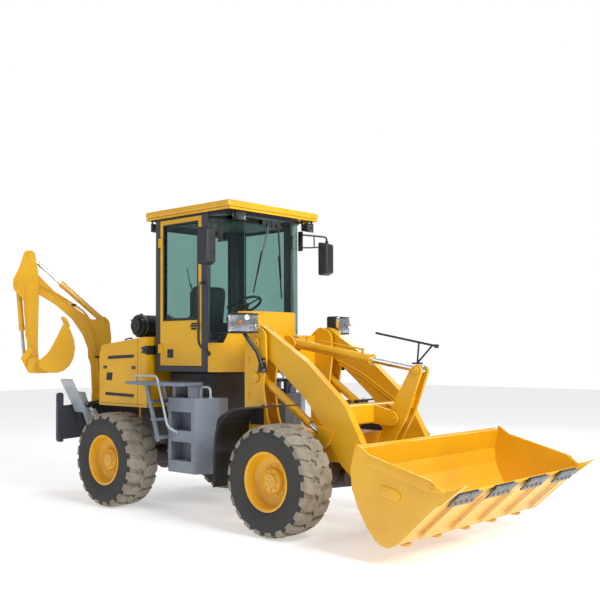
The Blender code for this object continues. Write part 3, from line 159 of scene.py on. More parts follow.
def buildGrainGroup():
    # Moulded or rubbed surface: two tones in patches and a grain of its own scale
    tree = bpy.data.node_groups.new("mouldedGrain", "ShaderNodeTree")
    groupSocket(tree, "Base", "NodeSocketColor", (0.03, 0.03, 0.03, 1))
    groupSocket(tree, "Patch", "NodeSocketColor", (0.06, 0.06, 0.06, 1))
    groupSocket(tree, "Patch Scale", "NodeSocketFloat", 6.0)
    groupSocket(tree, "Grain Scale", "NodeSocketFloat", 300.0)
    groupSocket(tree, "Grain Depth", "NodeSocketFloat", 0.25)
    groupSocket(tree, "Rough Low", "NodeSocketFloat", 0.5)
    groupSocket(tree, "Rough High", "NodeSocketFloat", 0.8)
    groupSocket(tree, "Color", "NodeSocketColor", out=True)
    groupSocket(tree, "Roughness", "NodeSocketFloat", out=True)
    groupSocket(tree, "Normal", "NodeSocketVector", out=True)
    link = tree.links.new
    given = addNode(tree, "NodeGroupInput", (-900, 0))
    result = addNode(tree, "NodeGroupOutput", (600, 0))
    where = addNode(tree, "ShaderNodeTexCoord", (-900, -300))
    patches = addNode(tree, "ShaderNodeTexNoise", (-600, 150))
    patches.inputs["Detail"].default_value = 7
    grain = addNode(tree, "ShaderNodeTexNoise", (-600, -150))
    grain.inputs["Detail"].default_value = 3
    link(where.outputs["Object"], patches.inputs["Vector"])
    link(where.outputs["Object"], grain.inputs["Vector"])
    link(given.outputs["Patch Scale"], patches.inputs["Scale"])
    link(given.outputs["Grain Scale"], grain.inputs["Scale"])
    spread = addNode(tree, "ShaderNodeMapRange", (-350, 150))
    spread.inputs["From Min"].default_value = 0.38
    spread.inputs["From Max"].default_value = 0.68
    link(patches.outputs["Fac"], spread.inputs["Value"])
    tone = addNode(tree, "ShaderNodeMix", (-100, 200), data_type="RGBA")
    link(spread.outputs["Result"], tone.inputs["Factor"])
    link(given.outputs["Base"], tone.inputs["A"])
    link(given.outputs["Patch"], tone.inputs["B"])
    rough = addNode(tree, "ShaderNodeMapRange", (-100, -50))
    link(spread.outputs["Result"], rough.inputs["Value"])
    link(given.outputs["Rough Low"], rough.inputs["To Min"])
    link(given.outputs["Rough High"], rough.inputs["To Max"])
    bump = addNode(tree, "ShaderNodeBump", (-100, -300))
    bump.inputs["Distance"].default_value = 0.001
    link(grain.outputs["Fac"], bump.inputs["Height"])
    link(given.outputs["Grain Depth"], bump.inputs["Strength"])
    link(tone.outputs["Result"], result.inputs["Color"])
    link(rough.outputs["Result"], result.inputs["Roughness"])
    link(bump.outputs["Normal"], result.inputs["Normal"])
    return tree


groups = {"paint": buildPaintGroup(), "grain": buildGrainGroup()}


def newFinish(name, group, inputs, **shader):
    made = bpy.data.materials.new(name)
    made.use_nodes = True
    tree = made.node_tree
    body = tree.nodes["Principled BSDF"]
    for key, value in shader.items():
        body.inputs[key.replace("_", " ")].default_value = value
    source = addNode(tree, "ShaderNodeGroup", (-400, 200))
    source.node_tree = groups[group]
    for key, value in inputs.items():
        source.inputs[key].default_value = value
    tree.links.new(source.outputs["Color"], body.inputs["Base Color"])
    tree.links.new(source.outputs["Roughness"], body.inputs["Roughness"])
    tree.links.new(source.outputs["Normal"], body.inputs["Normal"])
    finishes[name] = made
    return made


def colour(red, green, blue):
    return (red, green, blue, 1)


newFinish(
    "yellowPaint",
    "paint",
    {"Paint": colour(0.83, 0.445, 0.006), "Shade": colour(0.74, 0.375, 0.005), "Dust Amount": 0.3},
    Coat_Weight=0.25,
    Coat_Roughness=0.15,
)
newFinish(
    "darkPaint",
    "paint",
    {
        "Paint": colour(0.040, 0.046, 0.062),
        "Shade": colour(0.028, 0.032, 0.044),
        "Dust": colour(0.22, 0.19, 0.15),
        "Dust Top": 1.5,
        "Dust Amount": 0.3,
    },
    Coat_Weight=0.15,
)
newFinish(
    "stepPaint",
    "paint",
    {
        "Paint": colour(0.20, 0.235, 0.29),
        "Shade": colour(0.13, 0.155, 0.20),
        "Dust": colour(0.40, 0.37, 0.32),
        "Dust Top": 1.4,
        "Dust Amount": 0.4,
    },
    Coat_Weight=0.1,
)
newFinish(
    "legPaint",
    "paint",
    {
        "Paint": colour(0.44, 0.49, 0.54),
        "Shade": colour(0.33, 0.37, 0.42),
        "Dust": colour(0.38, 0.34, 0.28),
        "Dust Top": 1.2,
    },
)
newFinish(
    "blackPlastic",
    "grain",
    {"Base": colour(0.018, 0.018, 0.020), "Patch": colour(0.030, 0.030, 0.033), "Rough Low": 0.38},
)
newFinish(
    "blackSteel",
    "paint",
    {
        "Paint": colour(0.016, 0.016, 0.018),
        "Shade": colour(0.026, 0.026, 0.028),
        "Dust": colour(0.16, 0.14, 0.11),
        "Dust Top": 1.6,
    },
)
newFinish(
    "sidewallRubber",
    "grain",
    {
        "Base": colour(0.026, 0.026, 0.027),
        "Patch": colour(0.050, 0.048, 0.045),
        "Patch Scale": 5.0,
        "Grain Scale": 180.0,
        "Rough Low": 0.6,
        "Rough High": 0.9,
    },
)
newFinish(
    "treadRubber",
    "grain",
    {
        "Base": colour(0.23, 0.20, 0.155),
        "Patch": colour(0.34, 0.305, 0.245),
        "Patch Scale": 9.0,
        "Grain Scale": 120.0,
        "Grain Depth": 0.5,
        "Rough Low": 0.85,
        "Rough High": 0.95,
    },
)
newFinish(
    "castIron",
    "grain",
    {
        "Base": colour(0.035, 0.033, 0.032),
        "Patch": colour(0.085, 0.075, 0.062),
        "Patch Scale": 14.0,
        "Grain Scale": 90.0,
        "Grain Depth": 0.5,
    },
    Metallic=0.3,
)
newFinish(
    "rodChrome",
    "grain",
    {
        "Base": colour(0.74, 0.75, 0.77),
        "Patch": colour(0.60, 0.61, 0.63),
        "Patch Scale": 20.0,
        "Grain Depth": 0.02,
        "Rough Low": 0.10,
        "Rough High": 0.22,
    },
    Metallic=1.0,
)
newFinish(
    "wornSteel",
    "grain",
    {
        "Base": colour(0.10, 0.11, 0.12),
        "Patch": colour(0.24, 0.25, 0.26),
        "Patch Scale": 26.0,
        "Grain Depth": 0.4,
        "Rough Low": 0.35,
        "Rough High": 0.6,
    },
    Metallic=0.8,
)
newFinish(
    "zincBolt",
    "grain",
    {
        "Base": colour(0.42, 0.42, 0.40),
        "Patch": colour(0.30, 0.29, 0.26),
        "Patch Scale": 60.0,
        "Rough Low": 0.3,
        "Rough High": 0.5,
    },
    Metallic=0.9,
)
newFinish(
    "hoseRubber",
    "grain",
    {"Base": colour(0.015, 0.015, 0.015), "Patch": colour(0.035, 0.033, 0.03), "Grain Scale": 500.0},
)
newFinish(
    "seatVinyl",
    "grain",
    {
        "Base": colour(0.020, 0.020, 0.023),
        "Patch": colour(0.032, 0.032, 0.036),
        "Patch Scale": 12.0,
        "Grain Scale": 650.0,
        "Grain Depth": 0.5,
        "Rough Low": 0.45,
        "Rough High": 0.6,
    },
)
newFinish(
    "lampReflector",
    "grain",
    {
        "Base": colour(0.85, 0.86, 0.88),
        "Patch": colour(0.72, 0.74, 0.77),
        "Patch Scale": 45.0,
        "Grain Scale": 60.0,
        "Grain Depth": 0.9,
        "Rough Low": 0.06,
        "Rough High": 0.2,
    },
    Metallic=1.0,
)
newFinish(
    "amberPlastic",
    "grain",
    {
        "Base": colour(0.85, 0.16, 0.01),
        "Patch": colour(0.75, 0.12, 0.01),
        "Rough Low": 0.15,
        "Rough High": 0.3,
    },
)
newFinish(
    "redPlastic",
    "grain",
    {
        "Base": colour(0.55, 0.015, 0.01),
        "Patch": colour(0.42, 0.01, 0.01),
        "Rough Low": 0.15,
        "Rough High": 0.3,
    },
)
newFinish(
    "mirrorGlass",
    "grain",
    {
        "Base": colour(0.8, 0.82, 0.84),
        "Patch": colour(0.77, 0.79, 0.82),
        "Grain Depth": 0.0,
        "Rough Low": 0.02,
        "Rough High": 0.05,
    },
    Metallic=1.0,
)
newFinish(
    "tintedGlass",
    "grain",
    {
        "Base": colour(0.62, 0.85, 0.80),
        "Patch": colour(0.58, 0.81, 0.77),
        "Patch Scale": 1.5,
        "Grain Depth": 0.0,
        "Rough Low": 0.0,
        "Rough High": 0.02,
    },
    Transmission_Weight=1.0,
    IOR=1.3,
)
newFinish(
    "clearLens",
    "grain",
    {
        "Base": colour(0.97, 0.98, 1.0),
        "Patch": colour(0.93, 0.95, 0.97),
        "Grain Depth": 0.0,
        "Rough Low": 0.0,
        "Rough High": 0.02,
    },
    Transmission_Weight=1.0,
    IOR=1.35,
)
newFinish(
    "paleFloor",
    "grain",
    {
        "Base": colour(0.93, 0.93, 0.93),
        "Patch": colour(0.92, 0.92, 0.92),
        "Patch Scale": 0.4,
        "Grain Depth": 0.02,
        "Rough Low": 0.6,
        "Rough High": 0.7,
    },
    Emission_Color=(1, 1, 1, 1),
    Emission_Strength=0.42,
)
print("finishes:", len(finishes))


# ---- mesh makers; each returns a plain mesh in world place


def meshFrom(work, name="stock"):
    mesh = bpy.data.meshes.new(name)
    bmesh.ops.recalc_face_normals(work, faces=work.faces)
    work.to_mesh(mesh)
    work.free()
    return mesh


def bevelEdges(work, edges, width, segments=2):
    if width > 0:
        bmesh.ops.bevel(work, geom=edges, offset=width, segments=segments, profile=0.6, affect="EDGES")


def block(low, high, bevel=0.004):
    work = bmesh.new()
    bmesh.ops.create_cube(work, size=1)
    low, high = Vector(low), Vector(high)
    for v in work.verts:
        v.co = Vector([(low[k] + high[k]) / 2 + v.co[k] * (high[k] - low[k]) for k in range(3)])
    bevelEdges(work, work.edges[:], bevel)
    return meshFrom(work)


def rod(start, end, radius, sides=20, endRadius=None, bevel=0.0):
    start, end = Vector(start), Vector(end)
    work = bmesh.new()
    bmesh.ops.create_cone(
        work,
        cap_ends=True,
        segments=sides,
        radius1=radius,
        radius2=radius if endRadius is None else endRadius,
        depth=(end - start).length,
    )
    turn = (end - start).to_track_quat("Z", "Y").to_matrix().to_4x4()
    if bevel:
        rims = [e for e in work.edges if abs(e.verts[0].co.z - e.verts[1].co.z) < 1e-6]
        bevelEdges(work, rims, bevel)
    bmesh.ops.transform(work, matrix=Matrix.Translation((start + end) / 2) @ turn, verts=work.verts)
    return meshFrom(work)


axisOrder = {"x": (1, 2, 0), "y": (0, 2, 1), "z": (0, 1, 2)}


def plate(outline, low, high, across="y", bevel=0.003):
    first, second, third = axisOrder[across]
    work = bmesh.new()
    corners = []
    for point in outline:
        place = [0, 0, 0]
        place[first], place[second], place[third] = point[0], point[1], low
        corners.append(work.verts.new(place))
    face = work.faces.new(corners)
    made = bmesh.ops.extrude_face_region(work, geom=[face])
    shift = Vector((0, 0, 0))
    shift[third] = high - low
    moved = [v for v in made["geom"] if isinstance(v, bmesh.types.BMVert)]
    bmesh.ops.translate(work, vec=shift, verts=moved)
    bevelEdges(work, work.edges[:], bevel)
    return meshFrom(work)


def roundOff(points, radius, steps=5):
    # The same path with each inner corner replaced by an arc
    points = [Vector(p) for p in points]
    path = [points[0]]
    for before, corner, after in zip(points, points[1:], points[2:]):
        reach = min(radius, (corner - before).length * 0.45, (after - corner).length * 0.45)
        start = corner + (before - corner).normalized() * reach
        end = corner + (after - corner).normalized() * reach
        for k in range(steps + 1):
            t = k / steps
            path.append(start * (1 - t) ** 2 + corner * 2 * t * (1 - t) + end * t * t)
    return path + [points[-1]]


def tube(points, radius, bend=0.05, sides=12, soft=False):
    # A swept round bar; soft makes one smooth curve through the points
    curve = bpy.data.curves.new("path", "CURVE")
    curve.dimensions = "3D"
    curve.bevel_depth = radius
    curve.bevel_resolution = max(1, sides // 4 - 1)
    curve.use_fill_caps = True
    if soft:
        spline = curve.splines.new("BEZIER")
        spline.bezier_points.add(len(points) - 1)
        for knot, point in zip(spline.bezier_points, points):
            knot.co = point
            knot.handle_left_type = knot.handle_right_type = "AUTO"
        curve.resolution_u = 8
    else:
        path = roundOff(points, bend) if len(points) > 2 else [Vector(p) for p in points]
        spline = curve.splines.new("POLY")
        spline.points.add(len(path) - 1)
        for knot, point in zip(spline.points, path):
            knot.co = (*point, 1)
    holder = bpy.data.objects.new("path", curve)
    bpy.context.scene.collection.objects.link(holder)
    bpy.context.view_layer.update()
    mesh = bpy.data.meshes.new_from_object(holder.evaluated_get(bpy.context.evaluated_depsgraph_get()))
    bpy.data.objects.remove(holder)
    return mesh


def lathe(profile, centre, outward, steps=64):
    # profile is (radius, distance along outward); closed on the axis where its ends reach it
    work = bmesh.new()
    verts = [work.verts.new((r, 0, d)) for r, d in profile]
    edges = [work.edges.new(pair) for pair in zip(verts, verts[1:])]
    bmesh.ops.spin(
        work,
        geom=verts + edges,
        cent=(0, 0, 0),
        axis=(0, 0, 1),
        dvec=(0, 0, 0),
        angle=math.tau,
        steps=steps,
        use_merge=True,
        use_duplicate=False,
    )
    bmesh.ops.remove_doubles(work, verts=work.verts, dist=1e-5)
    turn = Vector(outward).to_track_quat("Z", "Y").to_matrix().to_4x4()
    bmesh.ops.transform(work, matrix=Matrix.Translation(Vector(centre)) @ turn, verts=work.verts)
    return meshFrom(work)


def turned(mesh, matrix):
    mesh.transform(matrix)
    return mesh


# ---- repeats made by Geometry Nodes


def socketIds(tree):
    return {s.name: s.identifier for s in tree.interface.items_tree if s.in_out == "INPUT"}


def buildRepeatTree(name, ring):
    # Copies of one unit on a ring about Z, or in a row, made real and given their finish
    tree = bpy.data.node_groups.new(name, "GeometryNodeTree")
    groupSocket(tree, "Geometry", "NodeSocketGeometry", out=True)
    groupSocket(tree, "Unit", "NodeSocketObject")
    groupSocket(tree, "Count", "NodeSocketInt", 8)
    groupSocket(tree, "Radius", "NodeSocketFloat", 0.1)
    groupSocket(tree, "Step", "NodeSocketVector", (0.1, 0, 0))
    groupSocket(tree, "Finish", "NodeSocketMaterial")
    link = tree.links.new
    given = addNode(tree, "NodeGroupInput", (-800, 0))
    result = addNode(tree, "NodeGroupOutput", (800, 0))
    unit = addNode(tree, "GeometryNodeObjectInfo", (-500, -200))
    link(given.outputs["Unit"], unit.inputs["Object"])
    place = addNode(tree, "GeometryNodeInstanceOnPoints", (100, 0))
    if ring:
        circle = addNode(tree, "GeometryNodeMeshCircle", (-500, 100))
        link(given.outputs["Count"], circle.inputs["Vertices"])
        link(given.outputs["Radius"], circle.inputs["Radius"])
        link(circle.outputs["Mesh"], place.inputs["Points"])
        index = addNode(tree, "GeometryNodeInputIndex", (-500, 350))
        share = addNode(tree, "ShaderNodeMath", (-300, 350), operation="DIVIDE")
        link(index.outputs["Index"], share.inputs[0])
        link(given.outputs["Count"], share.inputs[1])
        angle = addNode(tree, "ShaderNodeMath", (-150, 350), operation="MULTIPLY")
        angle.inputs[1].default_value = math.tau
        link(share.outputs[0], angle.inputs[0])
        turn = addNode(tree, "ShaderNodeCombineXYZ", (-50, 200))
        link(angle.outputs[0], turn.inputs["Z"])
        link(turn.outputs["Vector"], place.inputs["Rotation"])
    else:
        line = addNode(tree, "GeometryNodeMeshLine", (-500, 100))
        link(given.outputs["Count"], line.inputs["Count"])
        link(given.outputs["Step"], line.inputs["Offset"])
        link(line.outputs["Mesh"], place.inputs["Points"])
    link(unit.outputs["Geometry"], place.inputs["Instance"])
    real = addNode(tree, "GeometryNodeRealizeInstances", (350, 0))
    paint = addNode(tree, "GeometryNodeSetMaterial", (550, 0))
    link(place.outputs["Instances"], real.inputs["Geometry"])
    link(real.outputs["Geometry"], paint.inputs["Geometry"])
    link(given.outputs["Finish"], paint.inputs["Material"])
    link(paint.outputs["Geometry"], result.inputs["Geometry"])
    return tree


repeatTrees = {"ring": buildRepeatTree("ringOfUnits", True), "row": buildRepeatTree("rowOfUnits", False)}


def repeated(kind, unit, finish, count, radius=0.1, step=(0.1, 0, 0)):
    source = bpy.data.objects.new("unit", unit)
    holder = bpy.data.objects.new("holder", bpy.data.meshes.new("holder"))
    for made in (source, holder):
        bpy.context.scene.collection.objects.link(made)
    modifier = holder.modifiers.new("repeat", "NODES")
    modifier.node_group = repeatTrees[kind]
    ids = socketIds(repeatTrees[kind])
    values = {"Unit": source, "Count": count, "Radius": radius, "Step": step, "Finish": finishes[finish]}
    for key, value in values.items():
        modifier[ids[key]] = value
    bpy.context.view_layer.update()
    mesh = bpy.data.meshes.new_from_object(holder.evaluated_get(bpy.context.evaluated_depsgraph_get()))
    holder.modifiers.remove(modifier)
    bpy.data.objects.remove(holder)
    bpy.data.objects.remove(source)
    return mesh


def hexHead(radius, height):
    # A bolt head on its washer, standing on Z = 0
    work = bmesh.new()
    for size, low, high, sides in (
        (radius * 1.35, 0, height * 0.25, 16), (radius, height * 0.2, height, 6)
    ):
        bmesh.ops.create_cone(
            work,
            cap_ends=True,
            segments=sides,
            radius1=size,
            radius2=size * 0.94,
            depth=high - low,
            matrix=Matrix.Translation((0, 0, (low + high) / 2)),
        )
    return meshFrom(work)


def boltRing(centre, outward, count, radius, size=0.011, finish="zincBolt"):
    ring = repeated("ring", hexHead(size, size * 0.9), finish, count, radius)
    turn = Vector(outward).to_track_quat("Z", "Y").to_matrix().to_4x4()
    return (turned(ring, Matrix.Translation(Vector(centre)) @ turn), finish)


def boltRow(start, step, outward, count, size=0.010, finish="zincBolt"):
    turn = Vector(outward).to_track_quat("Z", "Y").to_matrix().to_4x4()
    unit = turned(hexHead(size, size * 0.9), turn)
    row = repeated("row", unit, finish, count, step=step)
    return (turned(row, Matrix.Translation(Vector(start))), finish)


def assemble(name, body, parts, sharp=35):
    # parts are (mesh, finish) pairs; they become one object that rides on one body
    work = bmesh.new()
    used = []
    for mesh, finish in parts:
        if finish not in used:
            used.append(finish)
        before = len(work.faces)
        work.from_mesh(mesh)
        work.faces.ensure_lookup_table()
        for face in work.faces[before:]:
            face.material_index = used.index(finish)
        bpy.data.meshes.remove(mesh)
    whole = bpy.data.meshes.new(name)
    work.to_mesh(whole)
    work.free()
    for finish in used:
        whole.materials.append(finishes[finish])
    whole.shade_smooth()
    whole.set_sharp_from_angle(angle=math.radians(sharp))
    piece = bpy.data.objects.new(name, whole)
    bpy.context.scene.collection.objects.link(piece)
    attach(piece, body)
    return piece


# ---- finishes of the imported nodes

nodeFinishes = {
    "darkPaint": ["cab_shell", "stabilizer_frame", "rear_chassis"],
    "stepPaint": ["steps_left", "steps_right"],
    "blackPlastic": ["mudguard_right", "mudguard_left", "air_cleaner"],
    "castIron": ["engine", "front_axle", "rear_axle"],
    "tintedGlass": ["windscreen", "rear_window", "left_window", "door_window"],
}
for node in nodes:
    if node.endswith("_rod"):
        nodeFinishes.setdefault("rodChrome", []).append(node)
    if node.startswith("stabilizer_") and ("leg" in node or "pad" in node or "barrel" in node):
        nodeFinishes.setdefault("legPaint", []).append(node)
painted = {node: finish for finish, members in nodeFinishes.items() for node in members}
for node, packed in nodes.items():
    packed.data.materials.clear()
    packed.data.materials.append(finishes[painted.get(node, "yellowPaint")])
print("packed nodes painted:", len(nodes))


# ---- wheels

wheelLook = {
    "tyreRadius": 0.5375,
    "halfWidth": 0.205,
    "rimRadius": 0.262,
    "grooveDepth": 0.024,
    "lugs": 21,
    "lugShare": 0.79,
    "dish": 0.135,
    "bolts": 10,
}


def treadLug(look, side):
    # One lug: a wavy bar from just past the middle to the shoulder, wrapped round the tyre
    pitch = math.tau / look["lugs"]
    outer, depth = look["tyreRadius"] - 0.001, look["grooveDepth"]
    stations = [
        (-0.010, 0.00, 0.30, outer),
        (0.030, 0.03, 0.36, outer),
        (0.062, 0.20, 0.36, outer),
        (0.088, 0.10, 0.37, outer),
        (0.125, 0.16, 0.38, outer - 0.003),
        (0.168, 0.26, 0.36, outer - 0.009),
        (0.193, 0.30, 0.30, outer - 0.024),
        (0.203, 0.31, 0.26, outer - 0.062),
    ]
    work = bmesh.new()
    rings = []
    for y, lean, half, top in stations:
        half = half * look["lugShare"] / 0.76
        floor = min(outer - depth, top) - 0.012
        ring = []
        for share, radius in ((-1, floor), (-0.93, top), (0.93, top), (1, floor)):
            angle = (lean + share * half) * pitch
            across = y if radius == top else min(y, 0.19)
            ring.append(work.verts.new((radius * math.sin(angle), side * across, radius * math.cos(angle))))
        rings.append(ring)
    for one, two in zip(rings, rings[1:]):
        for k in range(3):
            work.faces.new((one[k], one[k + 1], two[k + 1], two[k]))
    work.faces.new(rings[0])
    work.faces.new(rings[-1])
    return turned(meshFrom(work), Matrix.Rotation(-math.pi / 2, 4, "X"))


def makeWheel(name, side):
    look = wheelLook
    centre = jointAt[name + "_roll"]
    outward = (0, side, 0)
    half, outer, depth = look["halfWidth"], look["tyreRadius"], look["grooveDepth"]
    rim = look["rimRadius"]
    sidewall = [
        (rim + 0.004, -half + 0.045),
        (rim + 0.020, -half + 0.028),
        (rim + 0.075, -half + 0.008),
        (rim + 0.150, -half + 0.001),
        (outer - depth - 0.045, -half + 0.006),
        (outer - depth - 0.012, -half + 0.024),
    ]
    crown = [
        (outer - depth - 0.012, -half + 0.024),
        (outer - depth, -half + 0.060),
        (outer - depth, half - 0.060),
        (outer - depth - 0.012, half - 0.024),
    ]
    beadRings = [
        (rim + 0.050 + 0.018 * k, half - 0.013 - 0.0035 * (2 - k) + 0.003 * k) for k in range(3)
    ]
    parts = [
        (lathe(sidewall, centre, outward, 96), "sidewallRubber"),
        (lathe([(r, -d) for r, d in sidewall], centre, outward, 96), "sidewallRubber"),
        (lathe(crown, centre, outward, 96), "treadRubber"),
    ]
    for radius, distance in beadRings:
        ridge = [
            (radius - 0.003, distance - 0.006),
            (radius, distance + 0.001),
            (radius + 0.003, distance - 0.006),
        ]
        parts.append((lathe(ridge, centre, outward, 96), "sidewallRubber"))
    toWheel = Matrix.Translation(centre) @ Vector((0, 1, 0)).to_track_quat("Z", "Y").to_matrix().to_4x4()
    for hand in (-1, 1):
        lug = treadLug(look, -hand)
        if hand < 0:
            lug = turned(lug, Matrix.Rotation(math.pi / look["lugs"], 4, "Z"))
        ring = repeated("ring", lug, "treadRubber", look["lugs"], 0.0001)
        parts.append((turned(ring, toWheel), "treadRubber"))
    tyre = assemble(name + "_tyre", name, parts, 32)
    flange = half - 0.024
    disc = flange - look["dish"]
    dish = [
        (rim - 0.012, -flange),
        (rim + 0.020, -flange - 0.004),
        (rim + 0.020, -flange + 0.010),
        (rim + 0.002, -flange + 0.020),
        (rim + 0.002, flange - 0.030),
        (rim + 0.006, flange - 0.014),
        (rim + 0.022, flange - 0.010),
        (rim + 0.024, flange + 0.004),
        (rim + 0.012, flange + 0.010),
        (rim + 0.000, flange + 0.002),
        (rim - 0.008, flange - 0.030),
        (rim - 0.016, disc + 0.045),
        (rim - 0.030, disc + 0.022),
        (rim - 0.060, disc + 0.010),
        (0.165, disc + 0.006),
        (0.158, disc + 0.012),
        (0.150, disc + 0.012),
        (0.060, disc + 0.012),
        (0.060, disc - 0.012),
        (rim - 0.035, disc - 0.012),
        (rim - 0.012, disc - 0.030),
        (rim - 0.012, -flange),
    ]
    hub = [
        (0.150, disc + 0.012),
        (0.128, disc + 0.016),
        (0.120, disc + 0.052),
        (0.108, disc + 0.062),
        (0.074, disc + 0.064),
        (0.068, disc + 0.078),
        (0.0, disc + 0.080),
    ]
    rimParts = [
        (lathe(dish, centre, outward, 72), "yellowPaint"),
        (lathe(hub, centre, outward, 48), "yellowPaint"),
    ]
    face = Vector(outward)
    rimParts.append(
        boltRing(centre + face * (disc + 0.012), outward, look["bolts"], 0.139, 0.011, "yellowPaint")
    )
    rimParts.append(boltRing(centre + face * (disc + 0.064), outward, 8, 0.091, 0.008, "yellowPaint"))
    rimParts.append(boltRing(centre + face * (disc + 0.079), outward, 4, 0.030, 0.006, "zincBolt"))
    valve = centre + Vector((0.19, side * (disc + 0.02), 0.10))
    rimParts.append((rod(valve, valve + Vector((0.012, side * 0.045, 0.006)), 0.005, 10), "zincBolt"))
    wheelRim = assemble(name + "_rim", name, rimParts, 40)
    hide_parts(name)
    return tyre, wheelRim


for end in ("front", "rear"):
    for hand, side in sides.items():
        makeWheel(f"wheel_{end}_{hand}", side)
print("wheels: 4")


# ---- cab trim

cabLow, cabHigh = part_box("cab_shell")
doorLow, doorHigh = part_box("right_door")
roofLow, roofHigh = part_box("cab_roof")
cabLook = {
    "seal": 0.018,
    "railRadius": 0.014,
    "mirrorSize": (0.115, 0.20, 0.40),
    "lampSize": (0.09, 0.15, 0.10),
}


def frameOf(low, high, width, y0, y1, bevel=0.003):
    # Four bars round a rectangle in the XZ plane
    (x0, z0), (x1, z1) = low, high
    bars = [
        ((x0, z0), (x1, z0 + width)),
        ((x0, z1 - width), (x1, z1)),
        ((x0, z0 + width), (x0 + width, z1 - width)),
        ((x1 - width, z0 + width), (x1, z1 - width)),
    ]
    return [block((a[0], y0, a[1]), (b[0], y1, b[1]), bevel) for a, b in bars]


def makeDoorTrim():
    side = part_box("door_window")
    low, high = (side[0].x, side[0].z), (side[1].x, side[1].z)
    outer = -0.66
    parts = [(m, "hoseRubber") for m in frameOf(low, high, cabLook["seal"], outer - 0.004, outer + 0.012)]
    parts += [(m, "blackPlastic") for m in frameOf(low, high, 0.03, outer + 0.024, outer + 0.040)]
    ventX, ventZ, ventHalf = aft(0.70), 1.745, 0.048
    parts.append(
        (
            block(
                (ventX - ventHalf, outer - 0.008, ventZ - ventHalf),
                (ventX + ventHalf, outer + 0.004, ventZ + ventHalf),
            ),
            "blackPlastic",
        )
    )
    slat = block(
        (ventX - ventHalf + 0.008, outer - 0.013, ventZ - 0.038),
        (ventX + ventHalf - 0.008, outer - 0.006, ventZ - 0.030),
        0.002,
    )
    parts.append((repeated("row", slat, "blackPlastic", 5, step=(0, 0, 0.0165)), "blackPlastic"))
    handleX = aft(1.145)
    parts.append(
        (
            block((handleX - 0.075, outer - 0.012, 2.005), (handleX + 0.06, outer + 0.002, 2.080)),
            "blackPlastic",
        ),
    )
    parts.append(
        (
            tube(
                [
                    (handleX - 0.055, outer - 0.008, 2.045),
                    (handleX - 0.055, outer - 0.042, 2.045),
                    (handleX + 0.05, outer - 0.046, 2.045),
                    (handleX + 0.065, outer - 0.010, 2.045),
                ],
                0.010,
                0.02,
            ),
            "blackSteel",
        )
    )
    parts.append(
        (
            rod(
                (handleX + 0.03, outer - 0.020, 2.02), (handleX + 0.03, outer - 0.008, 2.02), 0.011, 16
            ),
            "zincBolt",
        ),
    )
    for z in (1.80, 3.00):
        hinge = Vector((doorLow.x - 0.002, outer - 0.012, z))
        parts.append(
            (
                rod(
                    hinge - Vector((0, 0, 0.058)), hinge + Vector((0, 0, 0.058)), 0.013, 16, bevel=0.002
                ),
                "blackSteel",
            ),
        )
        parts.append(boltRow(hinge + Vector((0.028, -0.006, -0.03)), (0, 0, 0.03), (0, -1, 0), 3, 0.006))
    # pull handle and lining inside
    parts.append(
        (
            block((aft(0.56), outer + 0.036, 1.66), (aft(1.19), outer + 0.046, 2.07), 0.01),
            "blackPlastic",
        ),
    )
    parts.append(
        (
            tube(
                [
                    (aft(0.75), outer + 0.04, 2.0),
                    (aft(0.75), outer + 0.09, 2.0),
                    (aft(1.1), outer + 0.09, 2.0),
                    (aft(1.1), outer + 0.04, 2.0),
                ],
                0.010,
                0.03,
            ),
            "blackPlastic",
        )
    )
    assemble("door_trim", "door", parts)


makeDoorTrim()


def makeGrabRails():
    r = cabLook["railRadius"]
    x = doorHigh.x + 0.040
    parts = []
    for side in (-1, 1):
        y = side * 0.655
        out = side * 0.735
        parts.append(
            (
                tube([(x, y, 2.52), (x, out, 2.50), (x, out, 1.84), (x + 0.07, y, 1.745)], r, 0.06),
                "blackSteel",
            ),
        )
        for z, dx in ((2.52, 0.0), (1.745, 0.07)):
            parts.append(
                (
                    rod(
                        (x + dx, y - side * 0.004, z),
                        (x + dx, y + side * 0.010, z),
                        0.028,
                        20,
                        bevel=0.003,
                    ),
                    "blackSteel",
                ),
            )
    assemble("cab_grab_rails", "rear_machine", parts)


makeGrabRails()


